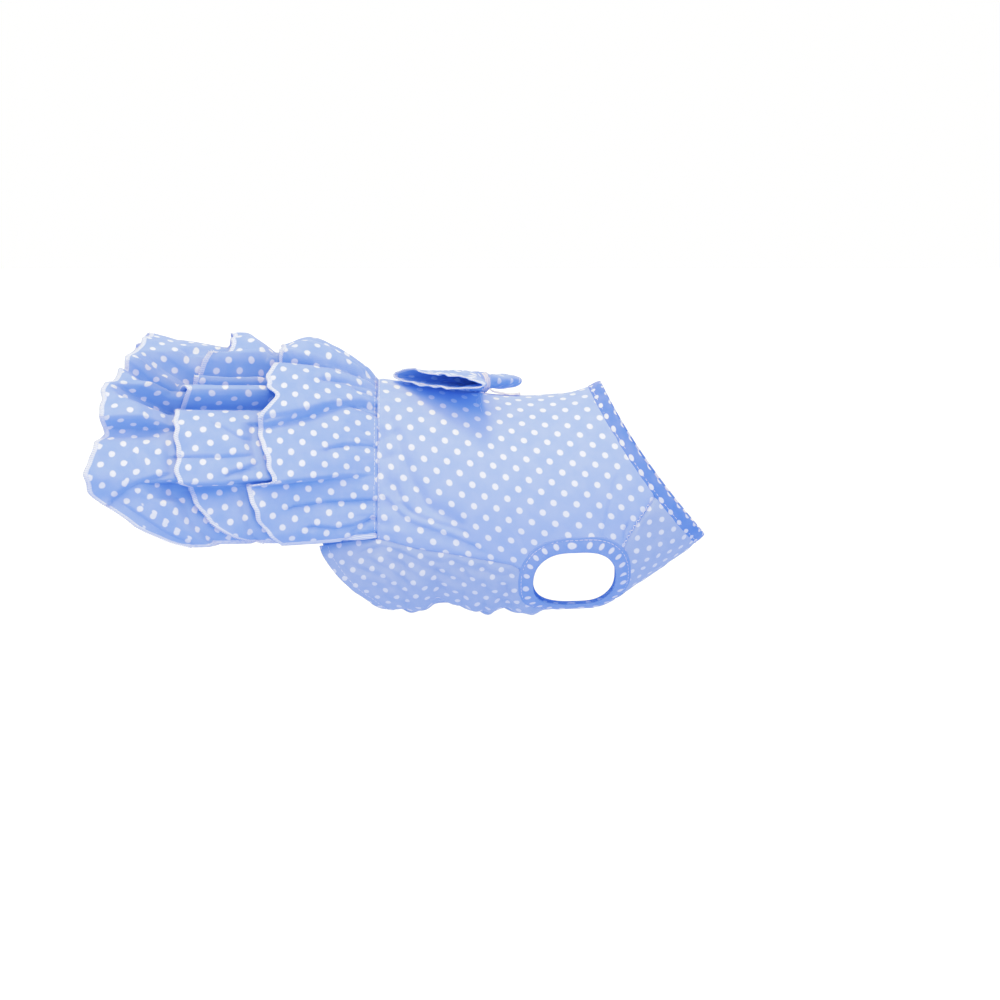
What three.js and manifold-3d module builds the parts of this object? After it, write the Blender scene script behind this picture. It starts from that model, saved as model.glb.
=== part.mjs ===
// Dress for a small dog: a fitted cotton bodice with two leg holes, three gathered ruffles behind the
// waist seam, and a bow. Millimetres, +X towards the neck, +Z up, the dog's right side towards -Y.
// The origin lies on the inside of the back, on its centre line, where the dress rests on the dog.
import * as THREE from "three";
import { mergeVertices } from "three/addons/utils/BufferGeometryUtils.js";
import Module from "manifold-3d";

// Cloth
const CLOTH = 1; // thickness of the cotton with its hems
const GAP = 0.3; // clearance between neighbouring pieces

// Bodice
const WAIST_BEHIND_ORIGIN = 56;
const BODICE_LENGTH = 163; // from the waist seam to the lowest point of the neck
const CHEST_DEPTH = 112;
const CHEST_WIDTH = 86;
const HEM_REACH = 29; // how far the belly panel's sides reach behind the waist seam
const BELLY_FOLD = 3; // how far the slack belly panel sags

// Bindings
const BINDING_WIDTH = 5.5;
const BINDING_THICKNESS = 1.9;
const LEG_HOLE_LENGTH = 41;
const LEG_HOLE_HEIGHT = 38;

// Ruffles
const TOP_RUFFLE_LENGTH = 60;
const MIDDLE_RUFFLE_LENGTH = 105;
const BOTTOM_RUFFLE_LENGTH = 150;
const SKIRT_RISE = 11; // how far the skirt stands above the waist
const SKIRT_SPREAD = 20; // how far each side of the skirt stands out beyond the waist
const FOLD_DEPTH = 10;

// Bow
const BOW_BEHIND_ORIGIN = 3;
const LOOP_LENGTH = 36;
const LOOP_WIDTH = 58;
const LOOP_PUFF = 0.8; // how far the loops swell between the knot and their ends
const RIBBON_WIDTH = 3.6;
const RIBBON_THICKNESS = 1;
const KNOT_WIDTH = 6.4;
const KNOT_HEIGHT = 9.4;
const RIBBON_END_LENGTH = 14;

const COTTON = { color: 0xb5c7ed, roughness: 0.9, metalness: 0 };
const BINDING_CLOTH = { color: 0x8fa6dc, roughness: 0.9, metalness: 0 };
const RIBBON = { color: 0xe4e6ee, roughness: 0.6, metalness: 0 };

const radians = THREE.MathUtils.degToRad;
const mix = THREE.MathUtils.lerp;

// Sections of the bodice from the belly panel's hem, behind the waist, to the neck. x is a share of
// BODICE_LENGTH from the waist, z of CHEST_DEPTH, half of CHEST_WIDTH. dip draws the sides backwards.
const bodiceSections = [
  { at: -0.25, topX: -HEM_REACH / BODICE_LENGTH, topZ: 0.08, bottomX: -HEM_REACH / BODICE_LENGTH, bottomZ: -0.92, half: 0.38, dip: 0 },
  { at: 0, topX: 0, topZ: 0.071, bottomX: 0, bottomZ: -0.937, half: 0.43, dip: 0 },
  { at: 0.2, topX: 0.16, topZ: 0.045, bottomX: 0.196, bottomZ: -0.94, half: 0.459, dip: 0 },
  { at: 0.4, topX: 0.313, topZ: 0.009, bottomX: 0.417, bottomZ: -0.955, half: 0.494, dip: 0 },
  { at: 0.6, topX: 0.466, topZ: -0.004, bottomX: 0.65, bottomZ: -0.946, half: 0.5, dip: 0 },
  { at: 0.78, topX: 0.571, topZ: 0.006, bottomX: 0.822, bottomZ: -0.812, half: 0.471, dip: 0.004 },
  { at: 0.9, topX: 0.632, topZ: 0.029, bottomX: 0.926, bottomZ: -0.712, half: 0.424, dip: 0.014 },
  { at: 1, topX: 0.684, topZ: 0.058, bottomX: 1, bottomZ: -0.616, half: 0.378, dip: 0.026 },
];

// Angle from the top of the back, in degrees, of the seam between the back and belly panels. It runs
// along the side, through the leg hole, and up across the shoulder to the neck.
const seamLine = [
  { at: -0.25, angle: 119 },
  { at: 0, angle: 113 },
  { at: 0.15, angle: 118 },
  { at: 0.31, angle: 121 },
  { at: 0.415, angle: 124 },
  { at: 0.46, angle: 132 },
  { at: 0.6, angle: 150 },
  { at: 0.69, angle: 161 },
  { at: 0.725, angle: 143 },
  { at: 0.76, angle: 127 },
  { at: 0.84, angle: 117.5 },
  { at: 1, angle: 108 },
];

// Scooped hem of the belly panel, from its middle (0) to the side seams (1), as a bodice station.
const bellyHem = [
  { at: 0, station: 0.03 },
  { at: 0.27, station: -0.03 },
  { at: 0.5, station: -0.11 },
  { at: 0.74, station: -0.19 },
  { at: 0.89, station: -0.228 },
  { at: 1, station: -0.25 },
];

// Cross folds of the slack belly panel, by bodice station, in shares of BELLY_FOLD.
const bellyFolds = [
  { at: -0.25, sag: 0 },
  { at: 0, sag: 0.2 },
  { at: 0.12, sag: 1 },
  { at: 0.21, sag: -0.5 },
  { at: 0.33, sag: 1 },
  { at: 0.37, sag: -0.2 },
  { at: 0.44, sag: 0.9 },
  { at: 0.5, sag: 0 },
  { at: 1, sag: 0 },
];

// The skirt's bell behind the waist, by distance over SKIRT_LENGTH. rise is a share of SKIRT_RISE,
// spread of SKIRT_SPREAD, and end is the angle, in degrees, at which the ruffles stop.
const skirtBell = [
  { at: 0, rise: 0, spread: 0, end: 112 },
  { at: 0.1, rise: 0.5, spread: 0.2, end: 113 },
  { at: 0.3, rise: 0.95, spread: 0.55, end: 114.5 },
  { at: 0.6, rise: 1, spread: 0.8, end: 115 },
  { at: 1, rise: 1, spread: 1, end: 115 },
];

// A row for each ridge and valley of a ruffle, from its top centre (0) to its lower end (1). The folds
// of the three ruffles lie in line, so their rows stand at the same places. reach is a share of the
// ruffle's length, crown and edge are shares of FOLD_DEPTH: how far the cloth stands out at its
// fullest and at its free edge.
const topRuffleFolds = [
  { at: 0, reach: 0.79, crown: 1.05, edge: 0.5 },
  { at: 0.1, reach: 0.86, crown: 0.9, edge: 0.7 },
  { at: 0.2, reach: 0.76, crown: -0.25, edge: -0.3 },
  { at: 0.28, reach: 0.75, crown: -0.1, edge: -0.2 },
  { at: 0.37, reach: 0.79, crown: 0.4, edge: 0.35 },
  { at: 0.46, reach: 0.9, crown: 0.7, edge: 0.85 },
  { at: 0.54, reach: 0.97, crown: -0.2, edge: -0.1 },
  { at: 0.62, reach: 0.96, crown: 0.25, edge: 0.3 },
  { at: 0.72, reach: 0.88, crown: 0.6, edge: 0.8 },
  { at: 0.79, reach: 1.03, crown: -0.3, edge: -0.35 },
  { at: 0.87, reach: 1.03, crown: 0.15, edge: 0.25 },
  { at: 0.94, reach: 0.95, crown: 0.3, edge: 0.35 },
  { at: 1, reach: 0.78, crown: 0, edge: 0 },
];
const middleRuffleFolds = [
  { at: 0, reach: 0.87, crown: 1.25, edge: 0.25 },
  { at: 0.1, reach: 0.88, crown: 1.05, edge: 0.5 },
  { at: 0.2, reach: 0.87, crown: 0.05, edge: -0.25 },
  { at: 0.28, reach: 0.9, crown: 0.4, edge: 0.6 },
  { at: 0.37, reach: 0.94, crown: -0.1, edge: -0.25 },
  { at: 0.46, reach: 0.955, crown: 0.5, edge: 0.55 },
  { at: 0.54, reach: 0.95, crown: 0.1, edge: 0.1 },
  { at: 0.62, reach: 0.94, crown: 0.4, edge: 0.45 },
  { at: 0.72, reach: 0.935, crown: 0.5, edge: 0.75 },
  { at: 0.79, reach: 0.89, crown: -0.3, edge: -0.35 },
  { at: 0.87, reach: 0.81, crown: 0.15, edge: 0.25 },
  { at: 0.94, reach: 0.72, crown: 0.2, edge: 0.2 },
  { at: 1, reach: 0.6, crown: 0, edge: 0 },
];
const bottomRuffleFolds = [
  { at: 0, reach: 0.755, crown: 1, edge: 0.95 },
  { at: 0.1, reach: 0.775, crown: 0.95, edge: 0.85 },
  { at: 0.2, reach: 0.83, crown: 0.5, edge: 0.1 },
  { at: 0.28, reach: 0.87, crown: 0.2, edge: -0.25 },
  { at: 0.37, reach: 0.905, crown: 0.5, edge: 0.45 },
  { at: 0.46, reach: 0.905, crown: -0.1, edge: -0.3 },
  { at: 0.54, reach: 0.9, crown: 0.2, edge: 0.1 },
  { at: 0.62, reach: 0.935, crown: 0.45, edge: 0.5 },
  { at: 0.72, reach: 0.955, crown: 0.5, edge: 0.75 },
  { at: 0.79, reach: 0.93, crown: 0, edge: -0.1 },
  { at: 0.87, reach: 0.845, crown: 0.3, edge: 0.4 },
  { at: 0.94, reach: 0.74, crown: 0.15, edge: 0.2 },
  { at: 1, reach: 0.61, crown: 0, edge: 0 },
];

const SKIRT_LENGTH = BOTTOM_RUFFLE_LENGTH;
const WAIST_X = -WAIST_BEHIND_ORIGIN;
const WAIST_LAYER = CLOTH + GAP; // from one ruffle's cloth to the next in the waist seam
const LOOSE_LAYER = 3 * CLOTH; // the same where the ruffles hang free
const LOOSE_AFTER = 20 * CLOTH; // distance behind the waist at which they hang free
const RUFFLE_SOFTENING = 1.5 * CLOTH; // rounds the line where a ruffle meets the one above it
const FOLD_SPACING = 0.06; // about half the distance from one fold to the next
const RUFFLE_SLOPE = 0.8; // steepest rise of a ruffle out from under the one above it

// Value of one column of a table at x, on a smooth curve that never overshoots its rows.
function valueAt(rows, column, x) {
  const last = rows.length - 1;
  const inside = THREE.MathUtils.clamp(x, rows[0].at, rows[last].at);
  let i = 0;
  while (i < last - 1 && inside > rows[i + 1].at) i += 1;
  const slope = (k) => (rows[k + 1][column] - rows[k][column]) / (rows[k + 1].at - rows[k].at);
  const tangent = (k) => {
    if (k === 0) return slope(0);
    if (k === last) return slope(last - 1);
    const before = slope(k - 1);
    const after = slope(k);
    return before * after <= 0 ? 0 : (2 * before * after) / (before + after);
  };
  const span = rows[i + 1].at - rows[i].at;
  const share = (inside - rows[i].at) / span;
  const rise = rows[i + 1][column] - rows[i][column];
  const start = span * tangent(i);
  const end = span * tangent(i + 1);
  const curve = 3 * rise - 2 * start - end + share * (start + end - 2 * rise);
  return rows[i][column] + share * (start + share * curve);
}

// The smaller of two values, with a round corner of the given size where they cross.
function smoothMin(a, b, size) {
  const near = Math.max(size - Math.abs(a - b), 0) / size;
  return Math.min(a, b) - (near * near * size) / 4;
}

// Evenly spaced values from one number to another, both included.
function steps(from, to, count) {
  return Array.from({ length: count + 1 }, (_, i) => mix(from, to, i / count));
}

// A closed sheet of cloth around the surface point(u, v), half its thickness on either side. With
// loop, the last u meets the first, so the sheet is a band.
function clothSheet(point, us, vs, thickness, loop = false) {
  const columns = loop ? us.slice(0, -1) : us;
  const small = 1e-3;
  const [uLow, uHigh] = loop ? [-Infinity, Infinity] : [us[0], us[us.length - 1]];
  const [vLow, vHigh] = [vs[0], vs[vs.length - 1]];
  const positions = [];
  for (const side of [0.5, -0.5]) {
    for (const v of vs) {
      for (const u of columns) {
        const alongU = point(Math.min(u + small, uHigh), v).sub(point(Math.max(u - small, uLow), v));
        const alongV = point(u, Math.min(v + small, vHigh)).sub(point(u, Math.max(v - small, vLow)));
        const normal = alongU.cross(alongV).normalize();
        const corner = point(u, v).addScaledVector(normal, side * thickness);
        positions.push(corner.x, corner.y, corner.z);
      }
    }
  }
  const width = columns.length;
  const height = vs.length;
  const at = (layer, j, i) => (layer * height + j) * width + (i % width);
  const faces = [];
  const quad = (a, b, c, d) => faces.push(a, b, c, a, c, d);
  const cells = loop ? width : width - 1;
  for (let i = 0; i < cells; i += 1) {
    for (let j = 0; j < height - 1; j += 1) {
      quad(at(0, j, i), at(0, j, i + 1), at(0, j + 1, i + 1), at(0, j + 1, i));
      quad(at(1, j, i), at(1, j + 1, i), at(1, j + 1, i + 1), at(1, j, i + 1));
    }
    quad(at(0, 0, i), at(1, 0, i), at(1, 0, i + 1), at(0, 0, i + 1));
    quad(at(0, height - 1, i), at(0, height - 1, i + 1), at(1, height - 1, i + 1), at(1, height - 1, i));
  }
  for (let j = 0; j < height - 1 && !loop; j += 1) {
    quad(at(0, j, 0), at(0, j + 1, 0), at(1, j + 1, 0), at(1, j, 0));
    quad(at(0, j, width - 1), at(1, j, width - 1), at(1, j + 1, width - 1), at(0, j + 1, width - 1));
  }
  return facingOut(new THREE.BufferGeometry()
    .setAttribute("position", new THREE.Float32BufferAttribute(positions, 3))
    .setIndex(faces));
}

// The same closed geometry with its faces turned to point out.
function facingOut(geometry) {
  const index = geometry.index;
  const corner = (i) => new THREE.Vector3().fromBufferAttribute(geometry.attributes.position, index.getX(i));
  let volume = 0;
  for (let i = 0; i < index.count; i += 3) {
    volume += corner(i).dot(corner(i + 1).cross(corner(i + 2))) / 6;
  }
  if (volume < 0) {
    for (let i = 0; i < index.count; i += 3) {
      const second = index.getX(i + 1);
      index.setX(i + 1, index.getX(i + 2));
      index.setX(i + 2, second);
    }
  }
  return geometry;
}

const wasm = await Module();
wasm.setup();

function toSolid(geometry) {
  const bare = geometry.clone();
  bare.deleteAttribute("normal");
  bare.deleteAttribute("uv");
  const merged = mergeVertices(bare, 1e-4);
  return new wasm.Manifold(new wasm.Mesh({
    numProp: 3,
    vertProperties: new Float32Array(merged.attributes.position.array),
    triVerts: new Uint32Array(merged.index.array),
  }));
}

function fromSolid(solid) {
  const mesh = solid.getMesh();
  return new THREE.BufferGeometry()
    .setAttribute("position", new THREE.BufferAttribute(new Float32Array(mesh.vertProperties), 3))
    .setIndex(new THREE.BufferAttribute(new Uint32Array(mesh.triVerts), 1));
}

const dress = new THREE.Group();

function addPiece(name, geometry, look) {
  const shown = geometry.clone();
  shown.computeVertexNormals();
  const mesh = new THREE.Mesh(shown, new THREE.MeshStandardMaterial(look));
  mesh.name = name;
  dress.add(mesh);
}

// Middle of the bodice's cloth at a station from waist (0) to neck (1), at an angle from the top of
// the back, positive towards +Y.
function bodicePoint(station, angle) {
  const at = (column) => valueAt(bodiceSections, column, station);
  const down = (1 - Math.cos(angle)) / 2;
  const out = Math.sin(angle);
  return new THREE.Vector3(
    WAIST_X + BODICE_LENGTH * (mix(at("topX"), at("bottomX"), down) - at("dip") * out * out),
    CHEST_WIDTH * at("half") * out,
    CLOTH / 2 + CHEST_DEPTH * mix(at("topZ"), at("bottomZ"), down),
  );
}

// Station that lies a distance behind the neck's edge.
function behindNeck(distance, angle) {
  const probe = 0.05;
  const length = bodicePoint(1, angle).distanceTo(bodicePoint(1 - probe, angle));
  return 1 - (distance * probe) / length;
}

// Angle that half a seam's clearance takes up at a station.
function seamClearance(station, angle) {
  const probe = 0.05;
  const length = bodicePoint(station, angle + probe).distanceTo(bodicePoint(station, angle - probe));
  return (GAP * probe) / length;
}

function seamAngle(station) {
  return radians(valueAt(seamLine, "angle", station));
}

// Leg hole: an oval cut square to the cloth at the hole's middle.
const LEG_STATION = 0.575;
const LEG_ANGLE = 139;

function legCutter(side, margin, depth) {
  const angle = side * radians(LEG_ANGLE);
  const middle = bodicePoint(LEG_STATION, angle);
  const around = bodicePoint(LEG_STATION, angle + 0.01).sub(bodicePoint(LEG_STATION, angle - 0.01)).setX(0);
  const across = around.normalize();
  const along = new THREE.Vector3(1, 0, 0);
  const outward = along.clone().cross(across);
  const oval = new THREE.Shape();
  oval.absellipse(0, 0, LEG_HOLE_LENGTH / 2 + margin, LEG_HOLE_HEIGHT / 2 + margin, 0, 2 * Math.PI);
  const cutter = new THREE.ExtrudeGeometry(oval, { depth: 2 * depth, bevelEnabled: false, curveSegments: 12 });
  cutter.translate(0, 0, -depth);
  cutter.applyMatrix4(new THREE.Matrix4().makeBasis(along, across, outward).setPosition(middle));
  return toSolid(cutter);
}

const LEG_CUT_DEPTH = LEG_HOLE_HEIGHT / 2;
const clothCutters = [-1, 1].map((side) => legCutter(side, BINDING_WIDTH + GAP, LEG_CUT_DEPTH));

function cutLegHoles(geometry) {
  return fromSolid(clothCutters.reduce((solid, cutter) => solid.subtract(cutter), toSolid(geometry)));
}

// Both panels take their rows at the same shares of the way to the neck, so that their seam edges match.
const PANEL_ROWS = steps(0, 1, 16);

// Station at which a panel ends, in front of the neck binding.
function panelEnd(angle) {
  return behindNeck(BINDING_WIDTH + GAP, angle);
}

// Back and sides of the bodice.
function backPanelPoint(across, along) {
  const station = along * panelEnd(across * seamAngle(1));
  const edge = seamAngle(station);
  return bodicePoint(station, across * (edge - seamClearance(station, edge)));
}
addPiece("back_panel", cutLegHoles(clothSheet(backPanelPoint, steps(-1, 1, 22), PANEL_ROWS, CLOTH)), COTTON);

// Belly and chest, slack between the leg holes and its hem.
const HEM_ROW = valueAt(bellyHem, "station", 1) / panelEnd(seamAngle(1));

function bellyPanelPoint(across, along) {
  const hem = valueAt(bellyHem, "station", Math.abs(across));
  const end = panelEnd(Math.PI - across * (Math.PI - seamAngle(1)));
  const station = mix(hem, end, (along - HEM_ROW) / (1 - HEM_ROW));
  const edge = seamAngle(station);
  const angle = Math.PI - across * (Math.PI - edge - seamClearance(station, edge));
  const fold = valueAt(bellyFolds, "sag", station) * BELLY_FOLD * (1 - across * across);
  return bodicePoint(station, angle).add(new THREE.Vector3(0, Math.sin(angle), Math.cos(angle)).multiplyScalar(fold));
}
const bellyRows = [HEM_ROW, (HEM_ROW * 2) / 3, HEM_ROW / 3, ...PANEL_ROWS];
addPiece("belly_panel", cutLegHoles(clothSheet(bellyPanelPoint, steps(-1, 1, 18), bellyRows, CLOTH)), COTTON);

// Bindings: a flat band behind the neck's edge, and one round each leg hole.
function neckBindingPoint(turn, across) {
  return bodicePoint(behindNeck(BINDING_WIDTH * (1 - across), turn), turn);
}
addPiece(
  "neck_binding",
  clothSheet(neckBindingPoint, steps(-Math.PI, Math.PI, 44), [0, 1], BINDING_THICKNESS, true),
  BINDING_CLOTH,
);

function legBinding(side) {
  const reach = LEG_HOLE_LENGTH / BODICE_LENGTH;
  const patch = (across, along) => bodicePoint(along, side * across);
  const stations = steps(LEG_STATION - reach, LEG_STATION + reach, 10);
  const angles = steps(radians(LEG_ANGLE - 52), Math.PI, 11);
  const sheet = toSolid(clothSheet(patch, angles, stations, BINDING_THICKNESS));
  const rim = sheet.intersect(legCutter(side, BINDING_WIDTH, LEG_CUT_DEPTH));
  return fromSolid(rim.subtract(legCutter(side, 0, LEG_HOLE_HEIGHT)));
}
addPiece("right_armhole_binding", legBinding(-1), BINDING_CLOTH);
addPiece("left_armhole_binding", legBinding(1), BINDING_CLOTH);

// Ruffles. They are numbered from the top one, which is the outermost. Each is drawn through rows of
// points at shares of its length, closer together where it comes out from under the one above it.
const ruffles = [
  {
    name: "top_ruffle",
    length: TOP_RUFFLE_LENGTH,
    folds: topRuffleFolds,
    rows: [0, 0.2, 0.45, 0.7, 0.85, 1],
  },
  {
    name: "middle_ruffle",
    length: MIDDLE_RUFFLE_LENGTH,
    folds: middleRuffleFolds,
    rows: [0, 0.12, 0.3, 0.45, 0.58, 0.7, 0.78, 0.86, 0.93, 1],
  },
  {
    name: "bottom_ruffle",
    length: BOTTOM_RUFFLE_LENGTH,
    folds: bottomRuffleFolds,
    rows: [0, 0.12, 0.3, 0.45, 0.58, 0.7, 0.78, 0.86, 0.93, 1],
  },
];

// The left side's folds fall a little differently from the right side's.
function foldValue(tier, column, place) {
  const value = valueAt(ruffles[tier].folds, column, Math.abs(place));
  const drift = place > 0 ? Math.sin(7 * place + tier) * Math.min(1, 8 * place) : 0;
  return column === "reach" ? value * (1 + 0.03 * drift) : value * (1 - 0.25 * drift);
}

function ruffleReach(tier, place) {
  return ruffles[tier].length * foldValue(tier, "reach", place);
}

const CROWN_AT = 0.7; // share of a ruffle's length at which its folds stand out furthest

// Distance behind the waist over which a ruffle, and the cloth just beside, lies under the one above.
function coveredReach(tier, place) {
  const beside = [-FOLD_SPACING, 0, FOLD_SPACING].map((shift) => (
    ruffleReach(tier - 1, THREE.MathUtils.clamp(place + shift, -1, 1))
  ));
  return Math.max(...beside) + LOOSE_LAYER;
}

// How far a ruffle's cloth stands off the skirt's bell, at a place around it and a distance behind
// the waist. A ruffle stays under the one above it and may only rise once it is out from under it.
function ruffleLift(tier, place, distance) {
  const share = Math.min(distance / ruffleReach(tier, place), 1.3);
  const profile = [
    { at: 0, lift: 0 },
    { at: CROWN_AT, lift: FOLD_DEPTH * foldValue(tier, "crown", place) },
    { at: 1, lift: FOLD_DEPTH * foldValue(tier, "edge", place) },
  ];
  const own = valueAt(profile, "lift", share) - tier * WAIST_LAYER * Math.max(0, 1 - share);
  if (tier === 0) return own;
  const covered = Math.min(distance, coveredReach(tier, place));
  const layer = mix(WAIST_LAYER, LOOSE_LAYER, THREE.MathUtils.smoothstep(distance, 0, LOOSE_AFTER));
  const limit = ruffleLift(tier - 1, place, covered) - layer + RUFFLE_SLOPE * (distance - covered);
  return smoothMin(own, limit, RUFFLE_SOFTENING);
}

function skirtPoint(place, distance, lift) {
  const bell = (column) => valueAt(skirtBell, column, distance / SKIRT_LENGTH);
  const waist = (column) => valueAt(bodiceSections, column, 0);
  const angle = place * radians(bell("end"));
  const rise = SKIRT_RISE * bell("rise");
  const height = (CHEST_DEPTH * (waist("topZ") - waist("bottomZ"))) / 2 + 0.75 * rise;
  const half = CHEST_WIDTH * waist("half") + SKIRT_SPREAD * bell("spread");
  const outward = new THREE.Vector3(0, Math.sin(angle) / half, Math.cos(angle) / height).normalize();
  const top = CLOTH / 2 + CHEST_DEPTH * waist("topZ") + rise;
  return new THREE.Vector3(
    WAIST_X - GAP - distance,
    half * Math.sin(angle),
    top - height * (1 - Math.cos(angle)),
  ).addScaledVector(outward, lift);
}

ruffles.forEach(({ name, folds, rows }, tier) => {
  const right = folds.map((row) => -row.at).reverse();
  const ends = [...right, ...folds.slice(1).map((row) => row.at)];
  const places = ends.flatMap((at, i) => (i ? [(ends[i - 1] + at) / 2, at] : [at]));
  const point = (place, share) => {
    const distance = share * ruffleReach(tier, place);
    return skirtPoint(place, distance, ruffleLift(tier, place, distance));
  };
  addPiece(name, clothSheet(point, places, rows, CLOTH), COTTON);
});

// Bow. Both loops are strips that run out from the knot, turn round and come back beneath themselves.
const BOW_X = -BOW_BEHIND_ORIGIN;
const KNOT_HEADING = 40;
const bowLoops = [
  { name: "right_bow_loop", side: -1, heading: 229, lift: 0.16 },
  { name: "left_bow_loop", side: 1, heading: 103, lift: -0.06 },
];

// Station of the bodice's top line at a distance along the back.
function backStation(x) {
  let [low, high] = [0, 1];
  for (let i = 0; i < 30; i += 1) {
    const middle = (low + high) / 2;
    if (bodicePoint(middle, 0).x < x) low = middle;
    else high = middle;
  }
  return low;
}

function backHeight(x) {
  return bodicePoint(backStation(x), 0).z + CLOTH / 2;
}

function levelDirection(heading) {
  return new THREE.Vector3(Math.cos(radians(heading)), Math.sin(radians(heading)), 0);
}

const knotMiddle = new THREE.Vector3(BOW_X, 0, backHeight(BOW_X) + GAP + KNOT_HEIGHT / 2);
const knotAxis = levelDirection(KNOT_HEADING);

function addLoop({ name, side, heading, lift }) {
  const out = levelDirection(heading).setZ(lift);
  const endAcross = levelDirection(heading + 90);
  const knotAcross = knotAxis.clone().multiplyScalar(side).cross(new THREE.Vector3(0, 0, -1));
  const start = knotMiddle.clone().addScaledVector(knotAxis, side * (RIBBON_WIDTH / 2 + GAP));
  const point = (across, turn) => {
    const open = Math.sin(Math.PI * turn);
    const width = knotAcross.clone().lerp(endAcross, open).normalize();
    const half = mix(KNOT_WIDTH / 2 - GAP, LOOP_WIDTH / 2, Math.pow(open, 1.3));
    const distance = LOOP_LENGTH * open * (1 - 0.08 * across * across * open);
    const height = Math.cos(Math.PI * turn) * ((KNOT_HEIGHT - CLOTH) / 2 - GAP + LOOP_PUFF * open);
    return start.clone()
      .addScaledVector(out, distance)
      .addScaledVector(width, across * half)
      .add(new THREE.Vector3(0, 0, height));
  };
  addPiece(name, clothSheet(point, steps(-1, 1, 6), steps(0, 1, 16), CLOTH), COTTON);
}
bowLoops.forEach(addLoop);

// Ribbon wrapped over the gathered middle of the bow.
function knotGeometry() {
  const oval = new THREE.Shape();
  oval.absellipse(0, 0, KNOT_WIDTH / 2, KNOT_HEIGHT / 2, 0, 2 * Math.PI);
  const knot = new THREE.ExtrudeGeometry(oval, { depth: RIBBON_WIDTH, bevelEnabled: false, curveSegments: 12 });
  knot.translate(0, 0, -RIBBON_WIDTH / 2);
  const up = new THREE.Vector3(0, 0, 1);
  const turned = new THREE.Matrix4().makeBasis(up.clone().cross(knotAxis), up, knotAxis);
  knot.applyMatrix4(turned.setPosition(knotMiddle));
  return fromSolid(toSolid(knot));
}
addPiece("bow_knot", knotGeometry(), RIBBON);

// Short end of the ribbon, which lies along the back in front of the knot.
function ribbonEndPoint(across, along) {
  const x = BOW_X + KNOT_WIDTH / 2 + GAP + RIBBON_THICKNESS / 2 + along * RIBBON_END_LENGTH;
  const station = backStation(x);
  const side = (across * RIBBON_WIDTH) / 2 - RIBBON_WIDTH / 2;
  const half = CHEST_WIDTH * valueAt(bodiceSections, "half", station);
  const point = bodicePoint(station, Math.asin(side / half));
  return point.add(new THREE.Vector3(0, 0, CLOTH / 2 + GAP + RIBBON_THICKNESS / 2));
}
addPiece("ribbon_end", clothSheet(ribbonEndPoint, steps(-1, 1, 3), steps(0, 1, 6), RIBBON_THICKNESS), RIBBON);

export default dress;
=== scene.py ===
import math
import bpy
import numpy as np
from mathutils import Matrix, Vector, noise


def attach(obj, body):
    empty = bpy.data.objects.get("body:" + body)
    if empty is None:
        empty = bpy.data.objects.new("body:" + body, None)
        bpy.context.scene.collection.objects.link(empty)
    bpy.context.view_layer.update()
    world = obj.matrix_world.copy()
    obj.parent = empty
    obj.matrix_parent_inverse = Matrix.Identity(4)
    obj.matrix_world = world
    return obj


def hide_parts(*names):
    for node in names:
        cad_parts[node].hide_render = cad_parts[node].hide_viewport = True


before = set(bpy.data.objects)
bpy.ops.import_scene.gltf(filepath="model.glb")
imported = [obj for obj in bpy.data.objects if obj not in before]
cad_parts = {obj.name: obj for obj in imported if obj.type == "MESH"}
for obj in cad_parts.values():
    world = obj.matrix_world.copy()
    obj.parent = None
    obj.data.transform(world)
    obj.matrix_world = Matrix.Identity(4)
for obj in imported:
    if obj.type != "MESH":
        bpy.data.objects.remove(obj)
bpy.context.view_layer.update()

# Back panel: one piece of light blue cotton, printed with white dots, over the back and both sides.
# It is sewn to the belly panel below and to the ruffles behind, and it creases where those seams
# pull on it. All sizes are in millimetres.
MM = 0.001
CLOTH = 1.0
WAIST_X = -56.0
BODICE_LENGTH = 163.0
CHEST_DEPTH = 112.0
CHEST_WIDTH = 86.0
HEM_REACH = 29.0
BINDING_WIDTH = 5.5
LEG_HOLE_LENGTH = 41.0
LEG_HOLE_HEIGHT = 38.0
LEG_STATION = 0.575
LEG_ANGLE = math.radians(139)
LEG_HOLE_TRIM = 2.8
COTTON_THICKNESS = 0.8
FAR_FROM_RIM = 50.0


def table(columns, *rows):
    return {name: np.array([row[i] for row in rows], float) for i, name in enumerate(columns.split())}


REAR_X = -HEM_REACH / BODICE_LENGTH
bodice_sections = table(
    "at top_x top_z bottom_x bottom_z half dip",
    (-0.25, REAR_X, 0.08, REAR_X, -0.92, 0.38, 0),
    (0, 0, 0.071, 0, -0.937, 0.43, 0),
    (0.2, 0.16, 0.045, 0.196, -0.94, 0.459, 0),
    (0.4, 0.313, 0.009, 0.417, -0.955, 0.494, 0),
    (0.6, 0.466, -0.004, 0.65, -0.946, 0.5, 0),
    (0.78, 0.571, 0.006, 0.822, -0.812, 0.471, 0.004),
    (0.9, 0.632, 0.029, 0.926, -0.712, 0.424, 0.014),
    (1, 0.684, 0.058, 1, -0.616, 0.378, 0.026),
)
seam_line = table(
    "at angle",
    (-0.25, 119), (0, 113), (0.15, 118), (0.31, 121), (0.415, 124), (0.46, 132),
    (0.6, 150), (0.69, 161), (0.725, 143), (0.76, 127), (0.84, 117.5), (1, 108),
)


def hermite(share, span, low, high, start, end):
    """Height at a share of a span, on the smooth curve between two heights with their slopes."""
    rise = high - low
    start, end = span * start, span * end
    bend = 3 * rise - 2 * start - end + share * (start + end - 2 * rise)
    return low + share * (start + share * bend)


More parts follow.
